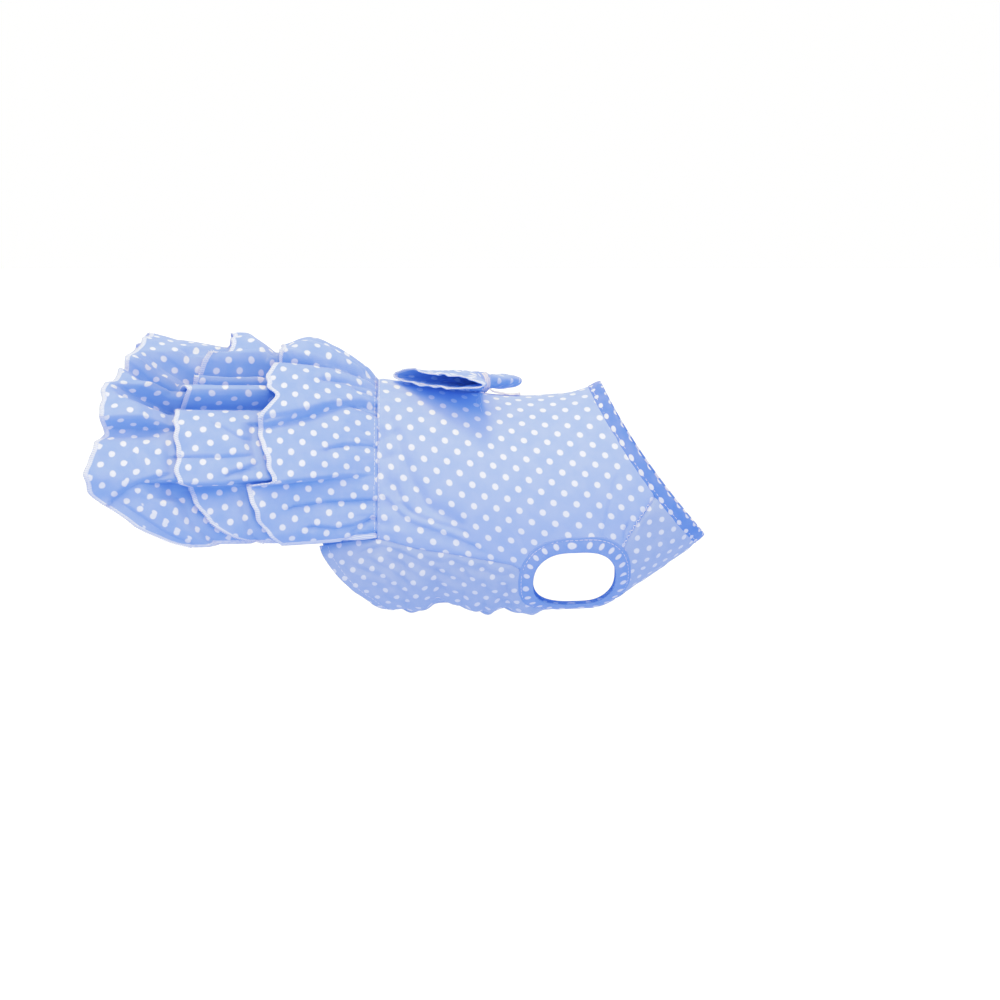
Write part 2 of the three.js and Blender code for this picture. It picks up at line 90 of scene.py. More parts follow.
def value_at(rows, column, x):
    """A table's column at x, on a smooth curve that never overshoots its rows."""
    at, values = rows["at"], rows[column]
    slopes = np.diff(values) / np.diff(at)
    before, after = slopes[:-1], slopes[1:]
    same = before * after > 0
    tangents = np.concatenate([slopes[:1], np.zeros(len(same)), slopes[-1:]])
    tangents[1:-1][same] = 2 * (before * after)[same] / (before + after)[same]
    x = np.clip(x, at[0], at[-1])
    i = np.clip(np.searchsorted(at, x) - 1, 0, len(at) - 2)
    span = at[i + 1] - at[i]
    return hermite((x - at[i]) / span, span, values[i], values[i + 1], tangents[i], tangents[i + 1])


def mix(a, b, share):
    return a + (b - a) * share


def smooth_step(x, low, high):
    share = np.clip((x - low) / (high - low), 0, 1)
    return share * share * (3 - 2 * share)


def unit(vectors):
    return vectors / np.linalg.norm(vectors, axis=-1, keepdims=True)


def bodice_point(station, angle):
    """Middle of the bodice's cloth, at a station from waist (0) to neck (1), at an angle from the top."""
    station, angle = np.broadcast_arrays(station, angle)
    rows = {name: value_at(bodice_sections, name, station) for name in bodice_sections if name != "at"}
    down, out = (1 - np.cos(angle)) / 2, np.sin(angle)
    x = WAIST_X + BODICE_LENGTH * (mix(rows["top_x"], rows["bottom_x"], down) - rows["dip"] * out * out)
    z = CLOTH / 2 + CHEST_DEPTH * mix(rows["top_z"], rows["bottom_z"], down)
    return np.stack([x, CHEST_WIDTH * rows["half"] * out, z], -1)


def bodice_normal(station, angle):
    """Outward direction of the bodice's cloth."""
    small = 1e-3
    along = bodice_point(station + small, angle) - bodice_point(station - small, angle)
    across = bodice_point(station, angle + small) - bodice_point(station, angle - small)
    normal = unit(np.cross(across, along))
    outwards = np.stack([0 * angle, np.sin(angle), np.cos(angle)], -1)
    return normal * np.sign(np.sum(normal * outwards, -1, keepdims=True))


def behind_neck(distance, angle):
    probe = 0.05
    length = np.linalg.norm(bodice_point(1, angle) - bodice_point(1 - probe, angle), axis=-1)
    return 1 - distance * probe / length


def seam_angle(station):
    return np.radians(value_at(seam_line, "angle", station))


def leg_frame(side):
    """Middle of a leg hole, the two directions in its plane, and the one out of it."""
    angle = side * LEG_ANGLE
    around = (bodice_point(LEG_STATION, angle + 0.01) - bodice_point(LEG_STATION, angle - 0.01)) * (0, 1, 1)
    across = around / np.linalg.norm(around)
    along = np.array([1.0, 0, 0])
    return bodice_point(LEG_STATION, angle), along, across, np.cross(along, across)


def from_leg_holes(points):
    """For each leg hole: how far points lie from its middle, along and across it, and which are near it."""
    for side in (-1, 1):
        middle, along, across, out = leg_frame(side)
        offset = points - middle
        yield offset @ along, offset @ across, abs(offset @ out) < LEG_HOLE_HEIGHT / 2


def in_leg_hole(points, margin):
    """Which points lie inside a leg hole that is larger by a margin."""
    inside = np.zeros(points.shape[:-1], bool)
    for x, y, near in from_leg_holes(points):
        x, y = x / (LEG_HOLE_LENGTH / 2 + margin), y / (LEG_HOLE_HEIGHT / 2 + margin)
        inside |= (x * x + y * y < 1) & near
    return inside


def wander(points, size, seed):
    """Soft random values, from about -1 to 1, that change over a size in millimetres."""
    flat = points.reshape(-1, 3) / size + seed * 7.3
    return np.array([noise.noise(Vector(p)) for p in flat]).reshape(points.shape[:-1]) * 1.6


def facing(points):
    """Unit normals of a grid of points."""
    normal = np.cross(np.gradient(points, axis=1), np.gradient(points, axis=0))
    return normal / np.maximum(np.linalg.norm(normal, axis=-1, keepdims=True), 1e-9)


def run_length(points, axis):
    """Distance run along one axis of a grid of points."""
    steps = np.linalg.norm(np.diff(points, axis=axis), axis=-1)
    start = np.zeros_like(np.take(steps, [0], axis))
    return np.concatenate([start, np.cumsum(steps, axis)], axis)


def add_grid(name, across, along):
    """A grid primitive with the given numbers of cells, all else deselected."""
    bpy.ops.object.select_all(action="DESELECT")
    bpy.ops.mesh.primitive_grid_add(x_subdivisions=across, y_subdivisions=along, size=2)
    piece = bpy.context.object
    piece.name = piece.data.name = name
    return piece


def clean_mesh(weld=0.0, turn_out=False):
    """Joins the active piece's points that lie within a distance of each other, and turns its faces out."""
    bpy.ops.object.mode_set(mode="EDIT")
    bpy.ops.mesh.select_all(action="SELECT")
    if weld:
        bpy.ops.mesh.remove_doubles(threshold=weld)
    if turn_out:
        bpy.ops.mesh.normals_make_consistent(inside=False)
    bpy.ops.object.mode_set(mode="OBJECT")


def grid_shares(across, along):
    return np.meshgrid(np.linspace(0, 1, across + 1), np.linspace(0, 1, along + 1))


def corner_points(mesh):
    """The number of the point at each corner of a mesh's faces."""
    corners = np.empty(len(mesh.loops), int)
    mesh.loops.foreach_get("vertex_index", corners)
    return corners


def shape_cloth(piece, points, flat, thickness, rim=None, holes=None):
    """Moves a grid to its points, gives it the flat cloth's coordinates as UVs, and its thickness."""
    mesh = piece.data
    mesh.vertices.foreach_set("co", (points * MM).ravel())
    mesh.uv_layers[0].data.foreach_set("uv", flat.reshape(-1, 2)[corner_points(mesh)].ravel())
    edge = mesh.attributes.new("rim", "FLOAT", "POINT")
    edge.data.foreach_set("value", np.full(len(mesh.vertices), FAR_FROM_RIM) if rim is None else rim.ravel())
    if holes is not None:
        mesh.vertices.foreach_set("select", holes.ravel())
        mesh.edges.foreach_set("select", np.zeros(len(mesh.edges), bool))
        mesh.polygons.foreach_set("select", np.zeros(len(mesh.polygons), bool))
        bpy.ops.object.mode_set(mode="EDIT")
        bpy.ops.mesh.select_mode(type="VERT")
        bpy.ops.mesh.delete(type="VERT")
        bpy.ops.object.mode_set(mode="OBJECT")
    wall = piece.modifiers.new("wall", "SOLIDIFY")
    wall.thickness = thickness * MM
    wall.offset = 0
    bpy.ops.object.modifier_apply(modifier=wall.name)
    bpy.ops.object.shade_smooth()
    return piece


def flat_size(flat):
    """Width, length and area of a flat cloth grid, in metres."""
    u, v = flat[..., 0], flat[..., 1]
    a, b = flat[1:, 1:] - flat[:-1, :-1], flat[1:, :-1] - flat[:-1, 1:]
    area = np.abs(a[..., 0] * b[..., 1] - a[..., 1] * b[..., 0]).sum() / 2
    width, length = np.ptp(u) * MM, np.ptp(v) * MM
    return (width, length), min(area * MM * MM, width * length)


def srgb(*shown):
    """A shader's colour from the red, green and blue, 0 to 255, that a screen shows."""
    return tuple(c / 255 / 12.92 if c <= 10 else ((c / 255 + 0.055) / 1.055) ** 2.4 for c in shown) + (1,)


def feed(tree, socket, value):
    """Gives a socket a value, or links it to another node's output."""
    if isinstance(value, bpy.types.NodeSocket):
        tree.links.new(value, socket)
    else:
        socket.default_value = value


def set_inputs(tree, node, **inputs):
    """Feeds a shader node's inputs, by name, or by number as i0 and i1."""
    for name, value in inputs.items():
        numbered = name[0] == "i" and name[1:].isdigit()
        feed(tree, node.inputs[int(name[1:]) if numbered else name.replace("_", " ")], value)
    return node


def add_node(tree, kind, settings=(), **inputs):
    """A shader node with its settings and its inputs."""
    node = tree.nodes.new(kind)
    for name, value in dict(settings).items():
        setattr(node, name, value)
    return set_inputs(tree, node, **inputs)


def new_material(name):
    """A material, with its node tree and its main shader."""
    material = bpy.data.materials.new(name)
    material.use_nodes = True
    return material, material.node_tree, material.node_tree.nodes["Principled BSDF"]


def bumps(tree, height, strength, depth):
    """The relief of a height, as a normal for a shader."""
    return add_node(tree, "ShaderNodeBump", Height=height, Strength=strength, Distance=depth).outputs[0]


def vector_math(tree, operation, a, b=(0, 0, 0)):
    return add_node(tree, "ShaderNodeVectorMath", {"operation": operation}, i0=a, i1=b).outputs[0]


def scalar_math(tree, operation, a, b=0.0):
    return add_node(tree, "ShaderNodeMath", {"operation": operation}, i0=a, i1=b).outputs[0]


def map_range(tree, value, from_low, from_high, to_low, to_high):
    limits = {"From_Min": from_low, "From_Max": from_high, "To_Min": to_low, "To_Max": to_high}
    smooth = {"interpolation_type": "SMOOTHSTEP"}
    return add_node(tree, "ShaderNodeMapRange", smooth, Value=value, **limits).outputs[0]


def mix_colour(tree, share, a, b):
    return add_node(tree, "ShaderNodeMix", {"data_type": "RGBA"}, i0=share, i6=a, i7=b).outputs[2]


DOT_RADIUS = 1.58
DOT_CELL = (10.25, 11.35, 1.0)
WAVE_PER_MM = 0.314
THREAD_PITCH = 0.38
SERGE_WIDTH = 2.5
COTTON_BLUE = srgb(168, 190, 235)
DOT_WHITE = srgb(233, 237, 249)
SERGE_THREAD = srgb(217, 225, 247)
WEAVE_SHADOW = (0.05, 0.12, 0.42, 1)


def dotted_cotton(name, blue, serged):
    """Printed cotton: staggered dots, a fine plain weave, and the serged edge where rim is small."""
    material, tree, shader = new_material(name)
    cloth = add_node(tree, "ShaderNodeUVMap", {"uv_map": "UVMap"}).outputs[0]
    wobble = add_node(tree, "ShaderNodeTexNoise", Vector=cloth, Scale=0.03, Detail=0.0).outputs["Color"]
    drift = vector_math(tree, "SUBTRACT", wobble, (0.5, 0.5, 0.5))
    drift = add_node(tree, "ShaderNodeVectorMath", {"operation": "SCALE"}, i0=drift, Scale=1.5).outputs[0]
    printed = vector_math(tree, "ADD", cloth, drift)
    cell = vector_math(tree, "DIVIDE", printed, DOT_CELL)
    nearest = []
    for shift in (0.5, 1.0):
        moved = vector_math(tree, "ADD", cell, (shift, shift, 0))
        inside = vector_math(tree, "SUBTRACT", vector_math(tree, "FRACTION", moved), (0.5, 0.5, 0))
        offset = vector_math(tree, "MULTIPLY", inside, DOT_CELL[:2] + (0,))
        length = add_node(tree, "ShaderNodeVectorMath", {"operation": "LENGTH"}, i0=offset)
        nearest.append(length.outputs["Value"])
    distance = scalar_math(tree, "MINIMUM", *nearest)
    dot = map_range(tree, distance, DOT_RADIUS - 0.3, DOT_RADIUS + 0.3, 1, 0)
    mottle = add_node(tree, "ShaderNodeTexNoise", Vector=cloth, Scale=0.12, Detail=4.0).outputs["Fac"]
    dyed = mix_colour(tree, map_range(tree, mottle, 0.3, 0.7, 0, 0.09), blue, DOT_WHITE)
    fuzz = add_node(tree, "ShaderNodeTexNoise", Vector=cloth, Scale=2.2, Detail=3.0).outputs["Fac"]
    print_share = scalar_math(tree, "MULTIPLY", dot, map_range(tree, fuzz, 0.2, 0.75, 0.98, 0.8))
    colour = mix_colour(tree, print_share, dyed, DOT_WHITE)
    threads = []
    for turn in (0, math.pi / 2):
        turned = add_node(tree, "ShaderNodeMapping", Vector=cloth, Rotation=(0, 0, turn)).outputs[0]
        pitch = WAVE_PER_MM / THREAD_PITCH
        wave = add_node(tree, "ShaderNodeTexWave", Vector=turned, Scale=pitch, Distortion=0.6)
        threads.append(wave.outputs["Fac"])
    weave = scalar_math(tree, "ADD", *threads)
    grain = scalar_math(tree, "MULTIPLY", scalar_math(tree, "ADD", weave, fuzz), 0.35)
    colour = mix_colour(tree, map_range(tree, grain, 0.3, 0.9, 0.1, 0), colour, WEAVE_SHADOW)
    height = grain
    if serged:
        rim = add_node(tree, "ShaderNodeAttribute", {"attribute_name": "rim"}).outputs["Fac"]
        edge = map_range(tree, rim, SERGE_WIDTH - 0.35, SERGE_WIDTH + 0.15, 1, 0)
        loops = add_node(tree, "ShaderNodeTexWave", Vector=cloth, Scale=0.33, Distortion=1.2).outputs["Fac"]
        thread = mix_colour(tree, map_range(tree, loops, 0.1, 0.6, 0.45, 0), SERGE_THREAD, blue)
        colour = mix_colour(tree, edge, colour, thread)
        raised = scalar_math(tree, "MULTIPLY", scalar_math(tree, "MULTIPLY", edge, loops), 3.0)
        height = scalar_math(tree, "ADD", grain, raised)
    set_inputs(tree, shader, Base_Color=colour, Normal=bumps(tree, height, 0.35, 0.00012), Roughness=0.88)
    set_inputs(tree, shader, Specular_IOR_Level=0.2, Sheen_Weight=0.25, Sheen_Roughness=0.5)
    return material


plain_cotton = dotted_cotton("dotted cotton", COTTON_BLUE, False)
serged_cotton = dotted_cotton("dotted cotton with serged edges", srgb(158, 183, 233), True)

STEP_WIDTH = 0.9


# Creases, as lines in the side view, from x and z to x and z. The cloth steps in at the line and comes
# out again over the width on the line's right-hand side, which is below a line drawn towards the neck.
def crease(depth, width, *line, step=STEP_WIDTH):
    return {"depth": depth, "width": width, "step": step, "line": np.array(line, float)}


def valley(depth, width, *line):
    return crease(depth, width, *line, step=0.55 * width)


bodice_creases = (
    crease(1.7, 7, (-51, -50), (-45, -57), (-38, -62), (-30, -64.5), (-20, -68), (-8, -73)),
    crease(1.0, 5, (-44, -52), (-36, -58), (-25, -62), (-12, -66)),
    valley(2.6, 7, (-51, -8), (-45, -24), (-40, -40), (-32, -53), (-16, -62)),
    valley(1.9, 5, (-53, -16), (-49, -34), (-46, -48)),
    valley(1.1, 5, (-54, -36), (-47, -46), (-40, -56)),
    crease(0.6, 4, (-55, -20), (-46, -15)),
    crease(0.5, 4, (-55, -30), (-47, -27)),
    crease(1.6, 5, (64, -97), (65.7, -79), (67.7, -64)),
    crease(0.5, 6, (20, -78), (10, -60)),
    crease(0.5, 6, (56, -68), (62, -40)),
)


def crease_depth(points, creases):
    """How far creases draw the cloth in. The left side's are weaker, and lie a little off the right's."""
    depth = np.zeros(points.shape[:-1])
    far = points[..., 1] > 0
    place = np.stack([points[..., 0] + np.where(far, 4, 0), points[..., 2] + np.where(far, 3, 0)], -1)
    for fold in creases:
        nearest, side = np.full(depth.shape, 1e9), np.zeros(depth.shape)
        for start, end in zip(fold["line"][:-1], fold["line"][1:]):
            run = end - start
            away = place - start
            share = np.clip((away @ run) / (run @ run), 0, 1)
            distance = np.linalg.norm(away - share[..., None] * run, axis=-1)
            closer = distance < nearest
            nearest = np.where(closer, distance, nearest)
            side = np.where(closer, away[..., 0] * run[1] - away[..., 1] * run[0], side)
        eased = np.clip(1 - nearest / fold["width"], 0, 1) ** 1.6
        steep = np.exp(-((nearest / fold["step"]) ** 2))
        depth += fold["depth"] * np.where(side > 0, eased, steep) * np.where(far, 0.75, 1)
    return depth


MM_PER_RADIAN = 48.0


def similar_fit(flat, guess):
    """A flat pattern turned, and mirrored where it must be, to lie as a guess lies."""
    middle = guess.reshape(-1, 2).mean(0)
    moved = flat - flat.reshape(-1, 2).mean(0)
    left, _, right = np.linalg.svd(moved.reshape(-1, 2).T @ (guess - middle).reshape(-1, 2))
    return moved @ (left @ right) + middle


def unroll(points, guess, cells=(50, 60)):
    """Flat coordinates of curved cloth, unwrapped with the least stretch and laid as a guess lies."""
    picks = []
    for size, count in zip(points.shape, cells):
        picks.append(np.unique(np.linspace(0, size - 1, count).round().astype(int)))
    solid = points[np.ix_(*picks)]
    rows, columns = solid.shape[:2]
    pattern = add_grid("pattern", columns - 1, rows - 1)
    mesh = pattern.data
    mesh.vertices.foreach_set("co", solid.ravel())
    bpy.ops.object.mode_set(mode="EDIT")
    bpy.ops.mesh.select_all(action="SELECT")
    bpy.ops.uv.unwrap(method="MINIMUM_STRETCH", iterations=30)
    bpy.ops.object.mode_set(mode="OBJECT")
    corners = corner_points(mesh)
    uvs = np.empty(len(corners) * 2)
    mesh.uv_layers[0].data.foreach_get("uv", uvs)
    flat = np.empty((rows * columns, 2))
    flat[corners] = uvs.reshape(-1, 2)
    flat = flat.reshape(rows, columns, 2)
    bpy.ops.object.delete()
    bpy.data.meshes.remove(mesh)
    flat *= run_length(solid, 0)[-1].mean() / run_length(flat, 0)[-1].mean()
    laid = guess[np.ix_(*picks)]
    moved = similar_fit(flat, laid) - laid
    across = np.stack([
        [np.interp(np.arange(points.shape[1]), picks[1], line[:, axis]) for line in moved] for axis in (0, 1)
    ])
    return guess + np.stack([
        [np.interp(np.arange(points.shape[0]), picks[0], across[axis, :, j]) for j in range(points.shape[1])]
        for axis in (0, 1)
    ]).transpose(2, 1, 0)


def wrapped_flat(points):
    """Flat coordinates of cloth wrapped smoothly round the body: around it from the middle, and along it."""
    around = run_length(points * (0, 1, 1), 1)
    around -= around[:, points.shape[1] // 2][:, None]
    return unroll(points, np.stack([around, points[..., 0]], -1))


def on_grain(flat, turn, shift=(0, 0), skew=0):
    """Flat coordinates turned to the piece's direction on the printed cloth, and pulled askew as it was."""
    c, s = math.cos(math.radians(turn)), math.sin(math.radians(turn))
    printed = flat @ np.array([[c, s], [-s, c]]) + shift
    return printed - printed[..., :1] * (0, math.tan(math.radians(skew)))


SEAM_ROLL = 1.3


def seam_dip(distance):
    """The cloth rolls in towards a seam."""
    return 0.9 * np.exp(-((distance / SEAM_ROLL) ** 2))


BACK_CELLS = (214, 140)
BACK_GRAIN = 5
BACK_SKEW = 10.5
BACK_SHIFT = (-5.4, 2.9)
NECK_FADE = (4, 12)
LEG_FADE = (8, 13)


def clear_of_bindings(points, from_neck):
    """0 under the neck's and the leg holes' bindings, and 1 where the cloth is free of them."""
    clear = smooth_step(from_neck, *NECK_FADE)
    for x, y, near in from_leg_holes(points):
        radius = np.hypot(x / (LEG_HOLE_LENGTH / 2), y / (LEG_HOLE_HEIGHT / 2))
        clear = clear * np.where(near, smooth_step((radius - 1) * LEG_HOLE_LENGTH / 2, *LEG_FADE), 1)
    return clear


def make_back_panel():
    u, along = grid_shares(*BACK_CELLS)
    across = 1 - 2 * u
    station = along * behind_neck(BINDING_WIDTH / 2, across * seam_angle(1))
    edge = seam_angle(station)
    angle = across * edge
    smooth = bodice_point(station, angle)
    normal = bodice_normal(station, angle)
    from_waist = smooth[..., 0] - WAIST_X
    to_seam = (1 - abs(across)) * edge * MM_PER_RADIAN
    pulls = 0.5 * np.sin(abs(angle) * 34 + 2 * np.sin(angle * 5)) * np.exp(-from_waist / 9)
    lift = pulls * smooth_step(from_waist, 0, 3) + 0.4 * wander(smooth, 26, 1) + 0.14 * wander(smooth, 9, 2)
    lift *= clear_of_bindings(smooth, (1 - along) * BODICE_LENGTH)
    lift -= crease_depth(smooth, bodice_creases)
    lift = lift * smooth_step(to_seam, 0, 5) - seam_dip(to_seam) - 0.4 * seam_dip(from_waist)
    points = smooth + normal * lift[..., None]
    flat = wrapped_flat(smooth)
    printed = on_grain(flat, BACK_GRAIN, BACK_SHIFT, BACK_SKEW)
    panel = add_grid("back_panel_cloth", *BACK_CELLS)
    shape_cloth(panel, points, printed, COTTON_THICKNESS, holes=in_leg_hole(points, LEG_HOLE_TRIM))
    panel.data.materials.append(plain_cotton)
    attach(panel, "root")
    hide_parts("back_panel")
    return panel, flat_size(flat)


back_panel, (back_flat, back_area) = make_back_panel()

# Belly panel: the same cotton under the chest and belly, wider than the body there, so it hangs in
# small cross folds. Its scooped rear hem is turned under and topstitched, and it runs up between
# the leg holes to the front of the neck.
# This cotton is painted paler and greyer than the back's: painted light, standing for light thrown up onto
# the belly from below.
bounce_lit_belly_cotton = dotted_cotton("belly cotton painted paler", srgb(175, 193, 223), False)
BELLY_CELLS = (188, 158)
BELLY_FOLD = 3.0
BELLY_GRAIN = -8
BELLY_SHIFT = (3, 2)
BELLY_SLACK = (1.08, 1.15)
HEM_WIDTH = 5.0
belly_hem = table(
    "at station", (0, 0.03), (0.27, -0.03), (0.5, -0.11), (0.74, -0.19), (0.89, -0.228), (1, -0.25),
)
belly_folds = table(
    "at sag",
    (-0.25, 0), (0, 0.2), (0.12, 1), (0.21, -0.5), (0.33, 1), (0.37, -0.2), (0.44, 0.9), (0.5, 0), (1, 0),
)
belly_creases = (
    valley(1.8, 7, (-45, -78), (-43, -92), (-42, -108)),
    valley(1.5, 7, (-28, -82), (-27, -94), (-26, -108)),
    valley(1.8, 6, (-4, -84), (-3, -96), (-3, -108)),
    valley(1.4, 5, (9, -86), (8, -98), (9, -108)),
    valley(1.0, 5, (-14, -84), (-13, -96), (-15, -106)),
    valley(0.9, 6, (-50, -82), (-30, -86), (-12, -92), (2, -100)),
    crease(1.0, 4, (-64, -76), (-54, -73), (-44, -76), (-36, -80)),
    valley(0.9, 4, (-20, -80), (-8, -86), (6, -88)),
    crease(1.6, 5, (63, -103), (64, -97), (65.7, -79), (67.7, -64)),
    valley(0.7, 6, (76, -62), (84, -72), (86, -82)),
)


def make_belly_panel():
    u, along = grid_shares(*BELLY_CELLS)
    across = 2 * u - 1
    hem = value_at(belly_hem, "station", abs(across))
    end = behind_neck(BINDING_WIDTH / 2, math.pi - across * (math.pi - seam_angle(1)))
    station = mix(hem, end, along)
    edge = seam_angle(station)
    angle = math.pi - across * (math.pi - edge)
    smooth = bodice_point(station, angle)
    normal = bodice_normal(station, angle)
    to_seam = (1 - abs(across)) * (math.pi - edge) * MM_PER_RADIAN
    from_hem = run_length(smooth, 0)
    slack = smooth_step(to_seam, 1, 9) * (1 - smooth_step(station, 0.42, 0.56)) * smooth_step(from_hem, 3, 14)
    waves = 0.55 * smooth[..., 0] + 0.8 * smooth[..., 2] + 2.6 * wander(smooth, 20, 5)
    lift = 0.35 * slack * np.sin(waves) + 0.6 * wander(smooth, 12, 3)
    lift += (0.15 + 0.3 * slack) * wander(smooth, 5, 4)
    lift += value_at(belly_folds, "sag", station) * BELLY_FOLD * (1 - across**2)
    lift *= clear_of_bindings(smooth, (1 - along) * BODICE_LENGTH)
    lift -= crease_depth(smooth, belly_creases)
    lift += 0.35 * (1 - smooth_step(from_hem, HEM_WIDTH - 0.5, HEM_WIDTH + 0.5))
    lift = lift * smooth_step(to_seam, 0, 5) - seam_dip(to_seam)
    points = smooth + normal * lift[..., None]
    flat = wrapped_flat(smooth) * BELLY_SLACK
    printed = on_grain(flat, BELLY_GRAIN, BELLY_SHIFT)
    panel = add_grid("belly_panel_cloth", *BELLY_CELLS)
    shape_cloth(panel, points, printed, COTTON_THICKNESS, holes=in_leg_hole(points, LEG_HOLE_TRIM))
    panel.data.materials.append(bounce_lit_belly_cotton)
    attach(panel, "root")
    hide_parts("belly_panel")
    size, area = flat_size(flat)
    return points, run_length(points, 0)


belly_points, belly_from_hem = make_belly_panel()

# Bindings: strips of the cotton folded over the raw edges of the neck and of both leg holes, and
# sewn through all layers close to their inner fold, which leaves a shallow channel there.
# Both bindings' cotton is painted darker than the back's: painted shade, deepest on the neck's band.
shaded_neck_cotton = dotted_cotton("neck binding cotton painted in shade", srgb(124, 150, 217), False)
shaded_armhole_cotton = dotted_cotton("armhole binding cotton painted in shade", srgb(146, 169, 223), False)
STITCH_INSET = 1.5
LEG_HOLE_CORNERS = 0.8
BINDING_AROUND = 28
NECK_BAND = 6.9
LEG_BAND = 7.6
BAND_THICKNESS = 1.7


def on_leg_plane(side, x, y):
    """Station and angle of the bodice's points that lie at x, y in a leg hole's plane."""
    middle, along, across, _ = leg_frame(side)
    station = LEG_STATION + x / BODICE_LENGTH
    angle = side * (LEG_ANGLE + side * y / MM_PER_RADIAN)
    small = 1e-4
    for _ in range(12):
        here = bodice_point(station, angle)
        by_station = (bodice_point(station + small, angle) - here) / small
        by_angle = (bodice_point(station, angle + small) - here) / small
        miss_x = x - (here - middle) @ along
        miss_y = y - (here - middle) @ across
        a, b, c, d = by_station @ along, by_angle @ along, by_station @ across, by_angle @ across
        size = a * d - b * c
        station = station + (d * miss_x - b * miss_y) / size
        angle = angle + (a * miss_y - c * miss_x) / size
    return station, angle


BIAS = 42.1


def neck_edge(distance, turn):
    """Station and angle at a distance in from the neck's edge."""
    return behind_neck(distance, turn), turn


def leg_edge(side):
    def place(distance, turn):
        x = (LEG_HOLE_LENGTH / 2 + distance) * np.sign(np.cos(turn)) * abs(np.cos(turn)) ** LEG_HOLE_CORNERS
        y = (LEG_HOLE_HEIGHT / 2 + distance) * np.sign(np.sin(turn)) * abs(np.sin(turn)) ** LEG_HOLE_CORNERS
        return on_leg_plane(side, x, y)
    return place


def make_binding(node, place, cloth, around, wide, dots_at, squeeze, seed):
    """A folded strip whose flat section runs round an edge of the bodice, in so many rings."""
    bpy.ops.object.select_all(action="DESELECT")
    bpy.ops.mesh.primitive_torus_add(major_segments=around, minor_segments=BINDING_AROUND, generate_uvs=True)
    band = bpy.context.object
    band.name = band.data.name = node + "_cloth"
    turns = [np.arange(count) / count * 2 * math.pi for count in (around, BINDING_AROUND)]
    turn, section = np.meshgrid(*turns, indexing="ij")
    width = np.sign(np.cos(section)) * abs(np.cos(section)) ** 0.55
    depth = np.sign(np.sin(section)) * abs(np.sin(section)) ** 0.7
    distance = wide / 2 * (1 + width)
    station, angle = place(distance, turn)
    channel = 0.32 * np.exp(-(((distance - wide + STITCH_INSET) / 0.5) ** 2))
    points = bodice_point(station, angle)
    pucker = 0.14 * wander(points, 3.0, seed) + 0.18 * wander(points, 9.0, seed + 1)
    half = BAND_THICKNESS / 2 - channel + pucker * 0.6
    normal = bodice_normal(station, np.where(angle > math.pi, angle - 2 * math.pi, angle))
    points = points + normal * (depth * half + 0.35 * pucker)[..., None]
    mesh = band.data
    mesh.vertices.foreach_set("co", (points * MM).ravel())
    length = run_length(points[:, ::BINDING_AROUND], 0)[-1, 0]
    corners = corner_points(mesh)
    ring, spot = np.divmod(corners, BINDING_AROUND)
    first = np.arange(len(corners)) // 4 * 4
    behind = ring[first] - ring
    ring = ring + around * (behind > around / 2) - around * (-behind > around / 2)
    uvs = np.stack([(distance[0, spot] - dots_at) * squeeze, ring / around * length], -1)
    mesh.uv_layers[0].data.foreach_set("uv", on_grain(uvs, BIAS).ravel())
    clean_mesh(turn_out=True)
    bpy.ops.object.shade_smooth()
    mesh.materials.append(cloth)
    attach(band, "root")
    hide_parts(node)
    return band


neck_strip = {"around": 256, "wide": NECK_BAND, "dots_at": 5.4, "squeeze": 1.4, "seed": 11}
leg_strip = {"around": 240, "wide": LEG_BAND, "dots_at": 3.6, "squeeze": 1.0}
bindings = [make_binding("neck_binding", neck_edge, shaded_neck_cotton, **neck_strip)]
for side, name in ((-1, "right_armhole_binding"), (1, "left_armhole_binding")):
    bindings.append(make_binding(name, leg_edge(side), shaded_armhole_cotton, **leg_strip, seed=14 + side))


